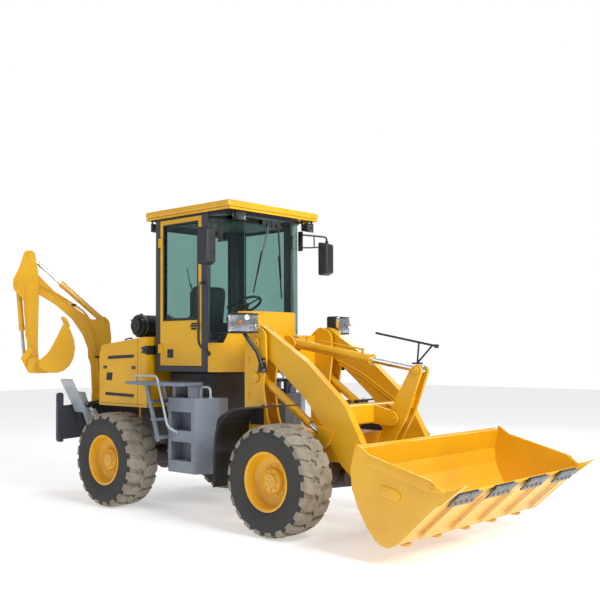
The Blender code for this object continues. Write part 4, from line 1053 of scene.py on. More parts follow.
def workLamp(centre, facing, size):
    # Housing, bowl, lens, bulb and back fins of a square work lamp, without its bracket; facing is level
    depth, width, height = size
    facing = Vector(facing).normalized()
    turn = Matrix.Translation(Vector(centre)) @ Vector(facing).to_track_quat("X", "Z").to_matrix().to_4x4()
    shell = bmesh.new()
    bmesh.ops.create_cube(shell, size=1)
    for v in shell.verts:
        shrink = 1.0 if v.co.x > 0 else 0.72
        v.co = Vector((v.co.x * depth, v.co.y * width * shrink, v.co.z * height * shrink))
    front = [f for f in shell.faces if f.normal.x > 0.9]
    bmesh.ops.inset_region(shell, faces=front, thickness=0.008)
    bmesh.ops.translate(shell, vec=(-0.022, 0, 0), verts=list({v for f in front for v in f.verts}))
    bevelEdges(shell, [e for e in shell.edges if e.calc_face_angle(0) > 0.9], 0.006)
    bowl = lathe(
        [(0.0, -0.030), (0.018, -0.028), (0.034, -0.014), (0.040, 0.0), (0.041, 0.004)],
        (depth / 2 - 0.016, 0, 0),
        (1, 0, 0),
        32,
    )
    for v in bowl.vertices:
        v.co.y *= width / 0.09
        v.co.z *= height / 0.09
    lens = block(
        (depth / 2 - 0.012, -width / 2 + 0.009, -height / 2 + 0.009),
        (depth / 2 - 0.006, width / 2 - 0.009, height / 2 - 0.009),
        0.002,
    )
    bulb = lathe(
        [(0, 0.012), (0.007, 0.010), (0.008, 0), (0.008, -0.014)],
        (depth / 2 - 0.030, 0, 0),
        (1, 0, 0),
        16,
    )
    ribs = block(
        (
            -depth / 2 - 0.006, -width * 0.28, -height * 0.3
        ), (-depth / 2 + 0.004, -width * 0.24, height * 0.3), 0.002
    )
    fins = repeated("row", ribs, "blackPlastic", 6, step=(0, width * 0.105, 0))
    parts = [
        (meshFrom(shell), "blackPlastic"),
        (bowl, "lampReflector"),
        (lens, "clearLens"),
        (bulb, "clearLens"),
        (fins, "blackPlastic"),
    ]
    return [(turned(mesh, turn), finish) for mesh, finish in parts]


def makeWorkLamps():
    width = cabLook["lampSize"][1]
    top = roofLow.z
    parts = []
    spots = [
        ((aft(1.655), -0.50, 3.215), (1, -0.15, 0)),
        ((aft(1.665), 0.56, 3.190), (1, 0.15, 0)),
        ((aft(0.345), -0.56, 3.200), (-1, -0.2, 0)),
        ((aft(0.345), 0.56, 3.200), (-1, 0.2, 0)),
    ]
    for centre, facing in spots:
        parts += workLamp(centre, facing, cabLook["lampSize"])
        x, y, z = centre
        for dy in (-0.5, 0.5):
            foot = y + dy * (width + 0.014)
            parts.append(
                (
                    block(
                        (x - 0.012, foot - 0.003, z - 0.015),
                        (x + 0.012, foot + 0.003, top - 0.002),
                        0.001,
                    ),
                    "blackSteel",
                ),
            )
            parts.append((rod((x, foot - 0.008, z), (x, foot + 0.008, z), 0.008, 12), "zincBolt"))
        parts.append(
            (
                block(
                    (x - 0.014, y - width / 2 - 0.010, top - 0.006),
                    (x + 0.014, y + width / 2 + 0.010, top - 0.0005),
                    0.001,
                ),
                "blackSteel",
            ),
        )
    assemble("cab_work_lamps", "rear_machine", parts)


makeWorkLamps()


def makeMirrors():
    depth, width, height = cabLook["mirrorSize"]
    for hand, side in sides.items():
        x, y, z = aft(1.645), side * 0.93, 2.86
        shell = bmesh.new()
        bmesh.ops.create_cube(shell, size=1)
        for v in shell.verts:
            narrow = 0.62 if v.co.x > 0 else 1.0
            v.co = Vector(
                (
                    x + v.co.x * depth,
                    y + v.co.y * width * narrow,
                    z + v.co.z * height * (0.86 if narrow < 1 else 1),
                ),
            )
        bevelEdges(shell, shell.edges[:], 0.026, 4)
        glass = block(
            (x - depth / 2 - 0.002, y - width / 2 + 0.018, z - height / 2 + 0.018),
            (x - depth / 2 + 0.003, y + width / 2 - 0.018, z + height / 2 - 0.018),
            0.001,
        )
        armX = aft(1.50)
        arm = [
            (armX, side * 0.62, 3.13),
            (armX + 0.02, side * 0.74, 3.135),
            (x, y, 3.12),
            (x, y, z + height / 2 - 0.02),
        ]
        brace = [
            (armX, side * 0.60, 2.98),
            (armX + 0.03, side * 0.72, 2.985),
            (x, y - side * 0.005, 3.00),
            (x, y, 3.06),
        ]
        parts = [
            (meshFrom(shell), "blackPlastic"),
            (glass, "mirrorGlass"),
            (tube(arm, 0.011, 0.07), "blackSteel"),
            (tube(brace, 0.009, 0.05), "blackSteel"),
            (
                rod((armX + 0.07, side * 0.79, 2.985), (armX + 0.07, side * 0.79, 3.13), 0.008, 12),
                "blackSteel",
            ),
            (
                block(
                    (armX - 0.03, side * 0.628 - 0.012, 2.94),
                    (armX + 0.03, side * 0.628 + 0.012, 3.17),
                    0.004,
                ),
                "blackSteel",
            ),
            (
                rod(
                    (x, y, z + height / 2 - 0.03),
                    (x, y, z + height / 2 + 0.012),
                    0.020,
                    16,
                    bevel=0.003,
                ),
                "blackPlastic",
            ),
        ]
        assemble("mirror_" + hand, "rear_machine", parts)


makeMirrors()


def makeWipers():
    glassX = aft(1.61)
    parts = []
    for y, tipY, tipZ in ((-0.05, -0.20, 2.62), (0.10, 0.16, 2.58)):
        hub = Vector((glassX + 0.004, y, 3.17))
        tip = Vector((glassX + 0.030, tipY, tipZ))
        parts.append((rod(hub, hub + Vector((0.035, 0, 0)), 0.018, 20, bevel=0.003), "blackSteel"))
        parts.append(
            (
                tube(
                    [hub + Vector((0.030, 0, 0)), hub.lerp(tip, 0.35) + Vector((0.018, 0, 0)), tip],
                    0.006,
                    0.1,
                ),
                "blackSteel",
            ),
        )
        parts.append(
            (
                tube(
                    [
                        hub + Vector((0.030, 0.018, -0.03)),
                        hub.lerp(tip, 0.4) + Vector((0.018, 0.012, 0)),
                        tip,
                    ],
                    0.004,
                    0.1,
                ),
                "blackSteel",
            ),
        )
        along = Vector((0, tipY - y, tipZ - 3.17)).normalized()
        bladeMid = tip + Vector((-0.010, 0, 0))
        for radius, shift in ((0.005, 0.0), (0.004, -0.012)):
            start = bladeMid - along * 0.26 + Vector((shift, 0, 0))
            end = bladeMid + along * 0.22 + Vector((shift, 0, 0))
            parts.append((rod(start, end, radius, 8), "hoseRubber"))
        parts.append(
            (
                block(hub - Vector((0.002, 0.07, 0.025)), hub + Vector((0.012, 0.07, 0.055)), 0.008),
                "blackPlastic",
            ),
        )
    rear = Vector((aft(0.40) - 0.006, 0.12, 2.16))
    tip = rear + Vector((-0.016, -0.22, 0.42))
    parts.append((rod(rear, rear - Vector((0.035, 0, 0)), 0.016, 16), "blackSteel"))
    parts.append((tube([rear - Vector((0.03, 0, 0)), tip], 0.006), "blackSteel"))
    parts.append(
        (
            rod(tip - Vector((0, -0.06, 0.26)), tip + Vector((0.004, -0.06, 0.18)), 0.005, 8),
            "hoseRubber",
        ),
    )
    assemble("cab_wipers", "rear_machine", parts)


makeWipers()


def makeRoofTrim():
    low, high = roofLow, roofHigh
    z = low.z - 0.003
    parts = []
    skirt = 0.022
    # painted shadow: a thin black ring under the roof's overhang, outside the cab, stands in for the shade
    # beneath the overhang
    for x0, y0, x1, y1 in (
        (low.x + 0.02, low.y + 0.02, aft(0.40) - 0.004, high.y - 0.02),
        (aft(1.61) + 0.004, low.y + 0.02, high.x - 0.02, high.y - 0.02),
        (aft(0.40) - 0.004, low.y + 0.02, aft(1.61) + 0.004, -0.665),
        (aft(0.40) - 0.004, 0.665, aft(1.61) + 0.004, high.y - 0.02),
    ):
        parts.append((block((x0, y0, z - 0.004), (x1, y1, z + 0.0025), 0.001), "blackPlastic"))
    for y in (low.y + 0.010, high.y - 0.018):
        parts.append(
            (
                block((low.x + 0.01, y, z - skirt), (high.x - 0.01, y + 0.008, z + 0.0025), 0.002),
                "yellowPaint",
            ),
        )
    for x in (low.x + 0.010, high.x - 0.018):
        parts.append(
            (
                block((x, low.y + 0.01, z - skirt), (x + 0.008, high.y - 0.01, z + 0.0025), 0.002),
                "yellowPaint",
            ),
        )
    stud = Vector((aft(0.82), -0.42, high.z))
    parts.append(
        (
            rod(stud - Vector((0, 0, 0.002)), stud + Vector((0, 0, 0.006)), 0.035, 24, bevel=0.002),
            "blackPlastic",
        ),
    )
    parts.append((rod(stud, stud + Vector((0, 0, 0.030)), 0.011, 16, bevel=0.002), "zincBolt"))
    hatch = [(low.x + 0.32, -0.30), (low.x + 0.98, -0.30), (low.x + 0.98, 0.30), (low.x + 0.32, 0.30)]
    parts.append((plate(hatch, high.z - 0.001, high.z + 0.012, "z", 0.008), "yellowPaint"))
    for y in (-0.62, 0.62):
        parts.append(
            boltRow((low.x + 0.12, y, high.z - 0.001), (0.24, 0, 0), (0, 0, 1), 6, 0.008, "yellowPaint")
        )
    parts.append(
        (
            rod(
                (low.x + 0.55, -0.34, high.z + 0.006), (low.x + 0.75, -0.34, high.z + 0.006), 0.009, 12
            ),
            "blackSteel",
        ),
    )
    assemble("roof_trim", "rear_machine", parts)


makeRoofTrim()


def makeCabSeals():
    parts = []
    # left window, rear window and the two bars that frame the curved front glass
    low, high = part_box("left_window")
    parts += [(m, "hoseRubber") for m in frameOf((low.x, low.z), (high.x, high.z), 0.020, 0.646, 0.664)]
    low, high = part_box("rear_window")
    x = aft(0.40)
    for y0, z0, y1, z1 in (
        (low.y, low.z, high.y, low.z + 0.02),
        (low.y, high.z - 0.02, high.y, high.z),
        (low.y, low.z, low.y + 0.02, high.z),
        (high.y - 0.02, low.z, high.y, high.z),
    ):
        parts.append((block((x - 0.004, y0, z0), (x + 0.010, y1, z1), 0.002), "hoseRubber"))
    for side in (-1, 1):
        y0, y1 = sorted((side * 0.632, side * 0.666))
        parts.append(
            (block((aft(1.305), y0, 1.87), (aft(1.345), y1, roofLow.z - 0.004), 0.005), "darkPaint")
        )
        parts.append(
            (
                block((aft(1.345), y0 + 0.006, 1.865), (aft(1.47), y1 - 0.002, 1.885), 0.004),
                "hoseRubber",
            ),
        )
    # sun blind and inner roof lining
    parts.append(
        (
            block((aft(0.45), -0.60, roofLow.z - 0.075), (aft(1.30), 0.60, roofLow.z - 0.055), 0.01),
            "seatVinyl",
        ),
    )
    parts.append(
        (
            block((aft(0.60), -0.30, roofLow.z - 0.088), (aft(0.72), -0.10, roofLow.z - 0.074), 0.006),
            "clearLens",
        ),
    )
    assemble("cab_seals", "rear_machine", parts)


makeCabSeals()


# ---- seat and controls

seatLook = {
    "cushion": (0.50, 0.50, 0.13),
    "back": (0.13, 0.48, 0.66),
    "crown": 0.022,
    "channel": 0.010,
    "cuts": 34,
}


def padMesh(size, crown, channels, channelDepth, cuts):
    # A crowned pad about its own centre; channels are sewn lines along its second axis
    work = bmesh.new()
    bmesh.ops.create_cube(work, size=2)
    bmesh.ops.subdivide_edges(work, edges=work.edges[:], cuts=cuts, use_grid_fill=True)
    for v in work.verts:
        u, w, t = v.co
        norm = (abs(u) ** 7 + abs(w) ** 7 + abs(t) ** 7) ** (1 / 7)
        u, w, t = u / norm, w / norm, t / norm
        pull = 1 - 0.035 * (1 - u * u) * (w * w) - 0.035 * (1 - w * w) * (u * u)
        x, y, z = u * size[0] / 2 * pull, w * size[1] / 2 * pull, t * size[2] / 2
        z += math.copysign(crown, t) * (1 - u * u) * (1 - w * w) * abs(t)
        if t > 0:
            for line in channels:
                z -= channelDepth * math.exp(-(((w - line) / 0.035) ** 2)) * (1 - u**6)
        seam = math.exp(-(((t - 0.55) / 0.06) ** 2))
        v.co = Vector((x * (1 - 0.012 * seam), y * (1 - 0.012 * seam), z))
    return meshFrom(work)


def makeSeat():
    look = seatLook
    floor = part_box("seat")[0].z
    seatTop = floor + 0.39
    cushion = padMesh(look["cushion"], look["crown"], (-0.5, 0.5), look["channel"], look["cuts"])
    cushion = turned(cushion, Matrix.Translation((aft(0.81), 0, seatTop - 0.07)))
    cushionPiece = assemble("seat_cushion", "rear_machine", [(cushion, "seatVinyl")], 60)
    backSize = (look["back"][2], look["back"][1], look["back"][0] - 0.02)
    back = padMesh(backSize, look["crown"], (-0.5, 0.5), look["channel"], look["cuts"])
    lean = math.atan2(0.08, 0.65)
    stand = Matrix.Rotation(math.pi / 2 + lean, 4, "Y") @ Matrix.Rotation(math.pi, 4, "Z")
    back = turned(back, Matrix.Translation((aft(0.565), 0, floor + 0.625)) @ stand)
    backPiece = assemble("seat_back", "rear_machine", [(back, "seatVinyl")], 60)
    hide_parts("seat")
    bellows = [(0.15 + (0.012 if k % 2 else 0), 0.03 + 0.02 * k) for k in range(9)]
    pedestal = lathe(
        [(0, 0.0), (0.17, 0.0), (0.17, 0.025)] + bellows + [(0, 0.20)],
        (aft(0.80), 0, floor),
        (0, 0, 1),
        40,
    )
    parts = [
        (pedestal, "hoseRubber"),
        (block((aft(0.62), -0.20, floor + 0.19), (aft(0.99), 0.20, floor + 0.255), 0.008), "blackSteel"),
        (block((aft(0.485), -0.20, floor + 0.22), (aft(0.515), 0.20, floor + 0.88), 0.01), "blackPlastic"),
    ]
    for side in (-1, 1):
        y = side * 0.295
        parts.append(
            (
                block(
                    (aft(0.60), y - 0.032, floor + 0.545), (aft(0.90), y + 0.032, floor + 0.585), 0.016
                ),
                "seatVinyl",
            ),
        )
        parts.append(
            (
                tube(
                    [
                        (aft(0.56), side * 0.24, floor + 0.50),
                        (aft(0.60), y, floor + 0.51),
                        (aft(0.66), y, floor + 0.55),
                    ],
                    0.011,
                    0.03,
                ),
                "blackSteel",
            ),
        )
        parts.append(
            (
                block(
                    (aft(0.66), side * 0.265 - 0.012, floor + 0.22),
                    (aft(0.72), side * 0.265 + 0.012, floor + 0.27),
                    0.004,
                ),
                "blackPlastic",
            ),
        )
    assemble("seat_frame", "rear_machine", parts)


makeSeat()


def makeControls():
    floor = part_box("steering_column")[0].z
    centre = Vector((aft(1.22), 0, floor + 0.70))
    tilt = Vector((-0.5, 0, 0.87)).normalized()
    ring = [
        (
            0.185 + 0.015 * math.cos(a), 0.015 * math.sin(a)
        ) for a in [math.tau * k / 14 for k in range(15)]
    ]
    parts = [
        (lathe(ring, centre, tilt, 56), "blackPlastic"),
        (
            lathe(
                [(0, 0.016), (0.035, 0.014), (0.045, 0.0), (0.040, -0.020), (0, -0.024)],
                centre,
                tilt,
                32,
            ),
            "blackPlastic",
        ),
    ]
    flat = tilt.cross(Vector((0, 1, 0))).normalized()
    for angle in (90, 210, 330):
        arm = Matrix.Rotation(math.radians(angle), 4, tilt) @ flat
        parts.append(
            (
                rod(centre + arm * 0.03 - tilt * 0.006, centre + arm * 0.180, 0.010, 12, 0.007),
                "blackPlastic",
            ),
        )
    knob = centre + (Matrix.Rotation(math.radians(50), 4, tilt) @ flat) * 0.185
    parts.append(
        (
            lathe(
                [(0, 0.06), (0.02, 0.055), (0.024, 0.04), (0.012, 0.018), (0.012, 0)], knob, tilt, 20
            ),
            "blackPlastic",
        ),
    )
    foot = Vector((aft(1.39), 0, floor + 0.02))
    parts.append((rod(centre - tilt * 0.02, centre - tilt * 0.30, 0.024, 20, 0.032), "blackPlastic"))
    parts.append(
        (
            block((foot.x - 0.10, -0.13, floor + 0.001), (foot.x + 0.06, 0.13, floor + 0.40), 0.025),
            "blackPlastic",
        ),
    )
    hood = [
        (foot.x - 0.14, floor + 0.42),
        (foot.x - 0.06, floor + 0.52),
        (foot.x + 0.05, floor + 0.50),
        (foot.x + 0.07, floor + 0.38),
        (foot.x - 0.09, floor + 0.36),
    ]
    parts.append((plate(hood, -0.19, 0.19, "y", 0.015), "blackPlastic"))
    for k, y in enumerate((-0.11, 0.0, 0.11)):
        gauge = Vector((foot.x - 0.105, y, floor + 0.475))
        parts.append(
            (
                rod(
                    gauge,
                    gauge + Vector((-0.018, 0, 0.014)),
                    0.036 if k == 1 else 0.028,
                    24,
                    bevel=0.002,
                ),
                "blackSteel",
            ),
        )
        parts.append(
            (
                rod(
                    gauge + Vector((-0.016, 0, 0.0125)),
                    gauge + Vector((-0.0195, 0, 0.0152)),
                    0.030 if k == 1 else 0.022,
                    24,
                ),
                "clearLens",
            ),
        )
    for y, z in ((-0.10, 0.10), (0.10, 0.10), (0.02, 0.10)):
        pedal = [
            (foot.x - 0.24, floor + 0.03),
            (foot.x - 0.17, floor + 0.12),
            (foot.x - 0.16, floor + 0.11),
            (foot.x - 0.23, floor + 0.02),
        ]
        parts.append((plate(pedal, y * 1.6 - 0.035, y * 1.6 + 0.035, "y", 0.002), "hoseRubber"))
        parts.append(
            (
                rod(
                    (foot.x - 0.18, y * 1.6, floor + 0.08),
                    (foot.x - 0.08, y * 1.6, floor + z + 0.05),
                    0.008,
                    10,
                ),
                "blackSteel",
            ),
        )
    wheelPiece = assemble("steering_wheel", "rear_machine", parts)
    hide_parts("steering_column")
    consoles = []
    for side in (-1, 1):
        y0, y1 = sorted((side * 0.33, side * 0.50))
        consoles.append(
            (block((aft(0.62), y0, floor + 0.001), (aft(1.08), y1, floor + 0.36), 0.03), "blackPlastic")
        )
        for k in range(3):
            base = Vector((aft(0.80 + 0.09 * k), side * 0.41, floor + 0.36))
            consoles.append(
                (
                    lathe(
                        [
                            (0.034, 0.0),
                            (0.028, 0.012),
                            (0.030, 0.020),
                            (0.018, 0.032),
                            (0.009, 0.05),
                            (0, 0.05),
                        ],
                        base,
                        (0, 0, 1),
                        20,
                    ),
                    "hoseRubber",
                ),
            )
            top = base + Vector((0.03, -0.01 * side, 0.21))
            consoles.append((rod(base, top, 0.006, 10), "rodChrome"))
            consoles.append(
                (
                    lathe(
                        [(0, 0.035), (0.016, 0.028), (0.020, 0.010), (0.010, -0.012), (0, -0.012)],
                        top,
                        (0, 0, 1),
                        20,
                    ),
                    "redPlastic" if k == 2 else "blackPlastic",
                ),
            )
    consoles.append(
        (
            block((aft(0.45), -0.60, floor + 0.0005), (aft(1.28), 0.60, floor + 0.008), 0.003),
            "hoseRubber",
        ),
    )
    consoles.append(
        (
            block((aft(0.445), -0.55, floor + 0.001), (aft(0.475), 0.55, floor + 0.44), 0.008),
            "blackPlastic",
        ),
    )
    assemble("cab_consoles", "rear_machine", consoles)


makeControls()
print("cab fitted")


# ---- lamps on the towers

lampLook = {"height": 0.20, "low": 1.955, "wall": 0.005}


def makeHeadlight(hand, side):
    look = lampLook
    z0, z1 = look["low"], look["low"] + look["height"]
    inner, outer = 0.645, 0.885

    def spot(dx, dy, z):
        return Vector((ahead(dx), side * dy, z))

    # the lens wraps from the inner front corner round to the outer side
    plan = [
        (-0.512, inner),
        (-0.505, 0.72),
        (-0.515, 0.79),
        (-0.550, 0.850),
        (-0.610, outer),
        (-0.690, outer + 0.008),
    ]
    work = bmesh.new()
    rows = []
    for share, shrink in ((0, 0.016), (0.12, 0.004), (0.5, 0.0), (0.88, 0.006), (1, 0.022)):
        z = z0 + (z1 - z0) * share
        row = []
        for k, (dx, dy) in enumerate(plan):
            taper = 0.028 * k / (len(plan) - 1)
            zz = z + (taper if share < 0.5 else -taper * 0.6) * (abs(share - 0.5) * 2)
            row.append(work.verts.new(spot(dx - shrink, dy, zz)))
        rows.append(row)
    for one, two in zip(rows, rows[1:]):
        for k in range(len(plan) - 1):
            work.faces.new((one[k], one[k + 1], two[k + 1], two[k]))
    bmesh.ops.solidify(work, geom=work.faces[:], thickness=look["wall"])
    lens = meshFrom(work)
    shell = [
        (ahead(-0.535), side * (inner - 0.004)),
        (ahead(-0.520), side * 0.785),
        (ahead(-0.575), side * (outer - 0.030)),
        (ahead(-0.720), side * (outer - 0.004)),
        (ahead(-0.735), side * 0.80),
        (ahead(-0.700), side * (inner + 0.010)),
    ]
    parts = [(lens, "clearLens"), (plate(shell, z0 + 0.012, z1 - 0.010, "z", 0.014), "lampReflector")]
    back = [
        (ahead(-0.580), side * (inner - 0.012)),
        (ahead(-0.590), side * 0.80),
        (ahead(-0.725), side * (outer + 0.002)),
        (ahead(-0.770), side * (outer - 0.04)),
        (ahead(-0.770), side * 0.76),
        (ahead(-0.715), side * (inner - 0.010)),
    ]
    parts.append((plate(back, z0 - 0.004, z1 + 0.006, "z", 0.018), "blackPlastic"))
    rim = [(ahead(dx - 0.008), side * dy) for dx, dy in plan]
    for z in (z0 + 0.008, z1 - 0.010):
        parts.append((tube([(x, y, z) for x, y in rim], 0.008, 0.05), "blackPlastic"))
    for dy, radius in ((0.70, 0.046), (0.785, 0.036)):
        bowl = lathe(
            [
                (0.006, -0.036),
                (radius * 0.55, -0.026),
                (radius * 0.9, -0.006),
                (radius, 0.006),
                (radius * 1.04, 0.0),
            ],
            spot(-0.523, dy, z0 + 0.095),
            (1, side * 0.12, 0),
            32,
        )
        parts.append((bowl, "lampReflector"))
        parts.append(
            (
                rod(spot(-0.545, dy, z0 + 0.095), spot(-0.520, dy, z0 + 0.095), 0.011, 16, bevel=0.003),
                "clearLens",
            ),
        )
    parts.append(
        (
            rod(
                spot(-0.585, 0.845, z0 + 0.11),
                spot(-0.550, 0.868, z0 + 0.11),
                0.020,
                20,
                0.014,
                bevel=0.004,
            ),
            "amberPlastic",
        ),
    )
    # bracket: bent strap from the tower's outer plate
    strap = [spot(-0.475, 0.627, 1.60), spot(-0.540, 0.640, 1.76), spot(-0.640, 0.735, 1.958)]
    for a, b in zip(strap, strap[1:]):
        parts.append((rod(a, b, 0.020, 8), "blackSteel"))
    parts.append(
        (
            plate(
                [
                    (ahead(-0.56), 1.55),
                    (ahead(-0.43), 1.55),
                    (ahead(-0.45), 1.70),
                    (ahead(-0.53), 1.70),
                ],
                *sorted((side * 0.607, side * 0.617)),
                "y",
                0.002,
            ),
            "blackSteel",
        ),
    )
    parts.append(boltRow(spot(-0.465, 0.617, 1.575), (0, 0, 0.09), (0, side, 0), 2, 0.012))
    lamp = assemble("headlight_unit_" + hand, "front_machine", parts, 50)
    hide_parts("headlight_" + hand)


for hand, side in sides.items():
    makeHeadlight(hand, side)
print("headlights: 2")


# ---- engine cover and air cleaner

hoodLow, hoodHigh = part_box("engine_cover")


def slotParts(x0, z0, x1, z1, y, side, rise=0.0):
    # A dark slot with a pressed lip round it; rise lifts its front end
    outline = [(x0, z0), (x1 - 0.02, z0 + rise), (x1, z1 + rise), (x0 + 0.02, z1)]
    dark = plate(outline, *sorted((y - side * 0.002, y + side * 0.0015)), "y", 0)
    loop = [(x, y + side * 0.001, z) for x, z in outline]
    loop.append(loop[0])
    return [(dark, "blackPlastic"), (tube(loop, 0.0045, 0.012), "yellowPaint")]


def makeHoodTrim():
    parts = []
    wall = 0.75
    for side in (-1, 1):
        y = side * wall
        parts += slotParts(ahead(-2.99), 1.675, ahead(-2.45), 1.722, y, side, 0.018)
        parts += slotParts(ahead(-3.04), 1.248, ahead(-2.45), 1.292, y, side, -0.012)
        parts += slotParts(ahead(-3.02), 1.425, ahead(-2.87), 1.525, y, side)
        for x in (aft(0.215),):
            parts.append(
                (
                    block(
                        (x, y - 0.0012, hoodLow.z + 0.20), (x + 0.004, y + 0.0012, hoodHigh.z - 0.03), 0
                    ),
                    "blackPlastic",
                ),
            )
        parts.append(
            (block((aft(-0.50), y - 0.0012, 1.158), (aft(0.37), y + 0.0012, 1.162), 0), "blackPlastic")
        )
        for x in (aft(-0.42), aft(0.14)):
            parts.append(
                (
                    block(
                        (x - 0.03, min(y, y + side * 0.012), 1.565),
                        (x + 0.03, max(y, y + side * 0.012), 1.60),
                        0.004,
                    ),
                    "blackSteel",
                ),
            )
            parts.append(
                (
                    rod(
                        (x - 0.02, y + side * 0.013, 1.582),
                        (x + 0.02, y + side * 0.013, 1.582),
                        0.006,
                        10,
                    ),
                    "zincBolt",
                ),
            )
        # latch bracket between cover and cab
        y0, y1 = sorted((side * 0.62, side * 0.762))
        parts.append((block((aft(0.36), y0, 1.735), (aft(0.400), y1, 1.835), 0.006), "blackSteel"))
        parts.append(
            (
                block(
                    (aft(0.30), min(side * 0.75, side * 0.765), 1.75),
                    (aft(0.40), max(side * 0.75, side * 0.765), 1.82),
                    0.004,
                ),
                "blackSteel",
            ),
        )
        parts.append(
            (
                rod(
                    (aft(0.335), side * 0.764, 1.785),
                    (aft(0.335), side * 0.782, 1.785),
                    0.014,
                    16,
                    bevel=0.003,
                ),
                "zincBolt",
            ),
        )
    # rear grille with its slats, and the lamps beside it
    x = hoodLow.x
    z0, z1, half = 1.22, 1.68, 0.46
    parts.append((block((x - 0.002, -half, z0), (x + 0.004, half, z1), 0.001), "blackPlastic"))
    slat = plate(
        [
            (x - 0.020, z0 + 0.012),
            (x - 0.004, z0 + 0.024),
            (x - 0.001, z0 + 0.020),
            (x - 0.017, z0 + 0.008),
        ],
        -half + 0.01,
        half - 0.01,
        "y",
        0,
    )
    parts.append((repeated("row", slat, "blackPlastic", 15, step=(0, 0, 0.0297)), "blackPlastic"))
    for y0, zz0, y1, zz1 in (
        (-half - 0.02, z0 - 0.02, half + 0.02, z0),
        (-half - 0.02, z1, half + 0.02, z1 + 0.02),
        (-half - 0.02, z0, -half, z1),
        (half, z0, half + 0.02, z1),
    ):
        parts.append((block((x - 0.024, y0, zz0), (x + 0.002, y1, zz1), 0.004), "yellowPaint"))
    for side in (-1, 1):
        for k, finish in enumerate(("redPlastic", "amberPlastic", "clearLens")):
            z = 1.50 - 0.085 * k
            y0, y1 = sorted((side * 0.56, side * 0.68))
            parts.append((block((x - 0.030, y0, z - 0.036), (x - 0.008, y1, z + 0.036), 0.007), finish))
        y0, y1 = sorted((side * 0.548, side * 0.692))
        parts.append((block((x - 0.012, y0, 1.275), (x + 0.002, y1, 1.555), 0.006), "blackPlastic"))
    # lifting eyes and hinge on top
    for y in (-0.55, 0.55):
        parts.append(
            (
                tube(
                    [
                        (aft(-0.30), y, hoodHigh.z - 0.075),
                        (aft(-0.30), y, hoodHigh.z - 0.02),
                        (aft(-0.16), y, hoodHigh.z - 0.005),
                        (aft(-0.16), y, hoodHigh.z - 0.06),
                    ],
                    0.009,
                    0.03,
                ),
                "blackSteel",
            ),
        )
    parts.append(
        (
            rod(
                (aft(0.372), -0.50, hoodHigh.z + 0.004),
                (aft(0.372), 0.50, hoodHigh.z + 0.004),
                0.010,
                14,
            ),
            "blackSteel",
        ),
    )
    assemble("engine_cover_trim", "rear_machine", parts)


makeHoodTrim()


def makeAirCleanerTrim():
    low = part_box("air_cleaner")[0]
    centreX, centreZ, radius = aft(0.01), 2.075, 0.125
    parts = []
    for y in (-0.545, -0.28, -0.14):
        band = [
            (radius + 0.0015, -0.011),
            (radius + 0.0045, -0.010),
            (radius + 0.0045, 0.010),
            (radius + 0.0015, 0.011),
        ]
        parts.append((lathe(band, (centreX, y, centreZ), (0, 1, 0), 64), "zincBolt"))
        parts.append(
            (
                block(
                    (centreX - 0.020, y - 0.012, centreZ + radius),
                    (centreX + 0.020, y + 0.012, centreZ + radius + 0.018),
                    0.004,
                ),
                "zincBolt",
            ),
        )
    face = low.y - 0.001
    cap = [
        (0, 0.012),
        (0.03, 0.012),
        (0.038, 0.004),
        (0.055, 0.004),
        (0.062, 0.010),
        (0.080, 0.008),
        (0.088, 0.0),
    ]
    parts.append((lathe(cap, (centreX, face, centreZ), (0, -1, 0), 56), "blackPlastic"))
    rings = [(radius, -0.60), (radius + 0.004, -0.592), (radius + 0.004, -0.575), (radius, -0.568)]
    parts.append(
        (
            lathe([(r, d + 0.58) for r, d in rings], (centreX, -0.58, centreZ), (0, 1, 0), 64),
            "blackPlastic",
        )
    )
    for angle in (30, 150, 270):
        a = math.radians(angle)
        spot = Vector(
            (centreX + (radius + 0.006) * math.cos(a), -0.585, centreZ + (radius + 0.006) * math.sin(a))
        )
        parts.append(
            (
                block(spot - Vector((0.009, 0.03, 0.009)), spot + Vector((0.009, 0.03, 0.009)), 0.004),
                "zincBolt",
            ),
        )
    duct = [
        (centreX, -0.03, centreZ),
        (centreX, 0.06, centreZ),
        (centreX, 0.13, centreZ - 0.06),
        (centreX, 0.13, hoodHigh.z - 0.03),
    ]
    parts.append((tube(duct, 0.062, 0.09, 24), "hoseRubber"))
    for y in (0.012, 0.04):
        parts.append(
            (
                lathe(
                    [(0.062, -0.008), (0.066, -0.007), (0.066, 0.007), (0.062, 0.008)],
                    (centreX, y, centreZ),
                    (0, 1, 0),
                    48,
                ),
                "zincBolt",
            ),
        )
    assemble("air_cleaner_trim", "rear_machine", parts)


makeAirCleanerTrim()
print("engine cover fitted")


# ---- steps and handrails

stepLook = {"rail": 0.013, "studRows": 3, "studs": 7}


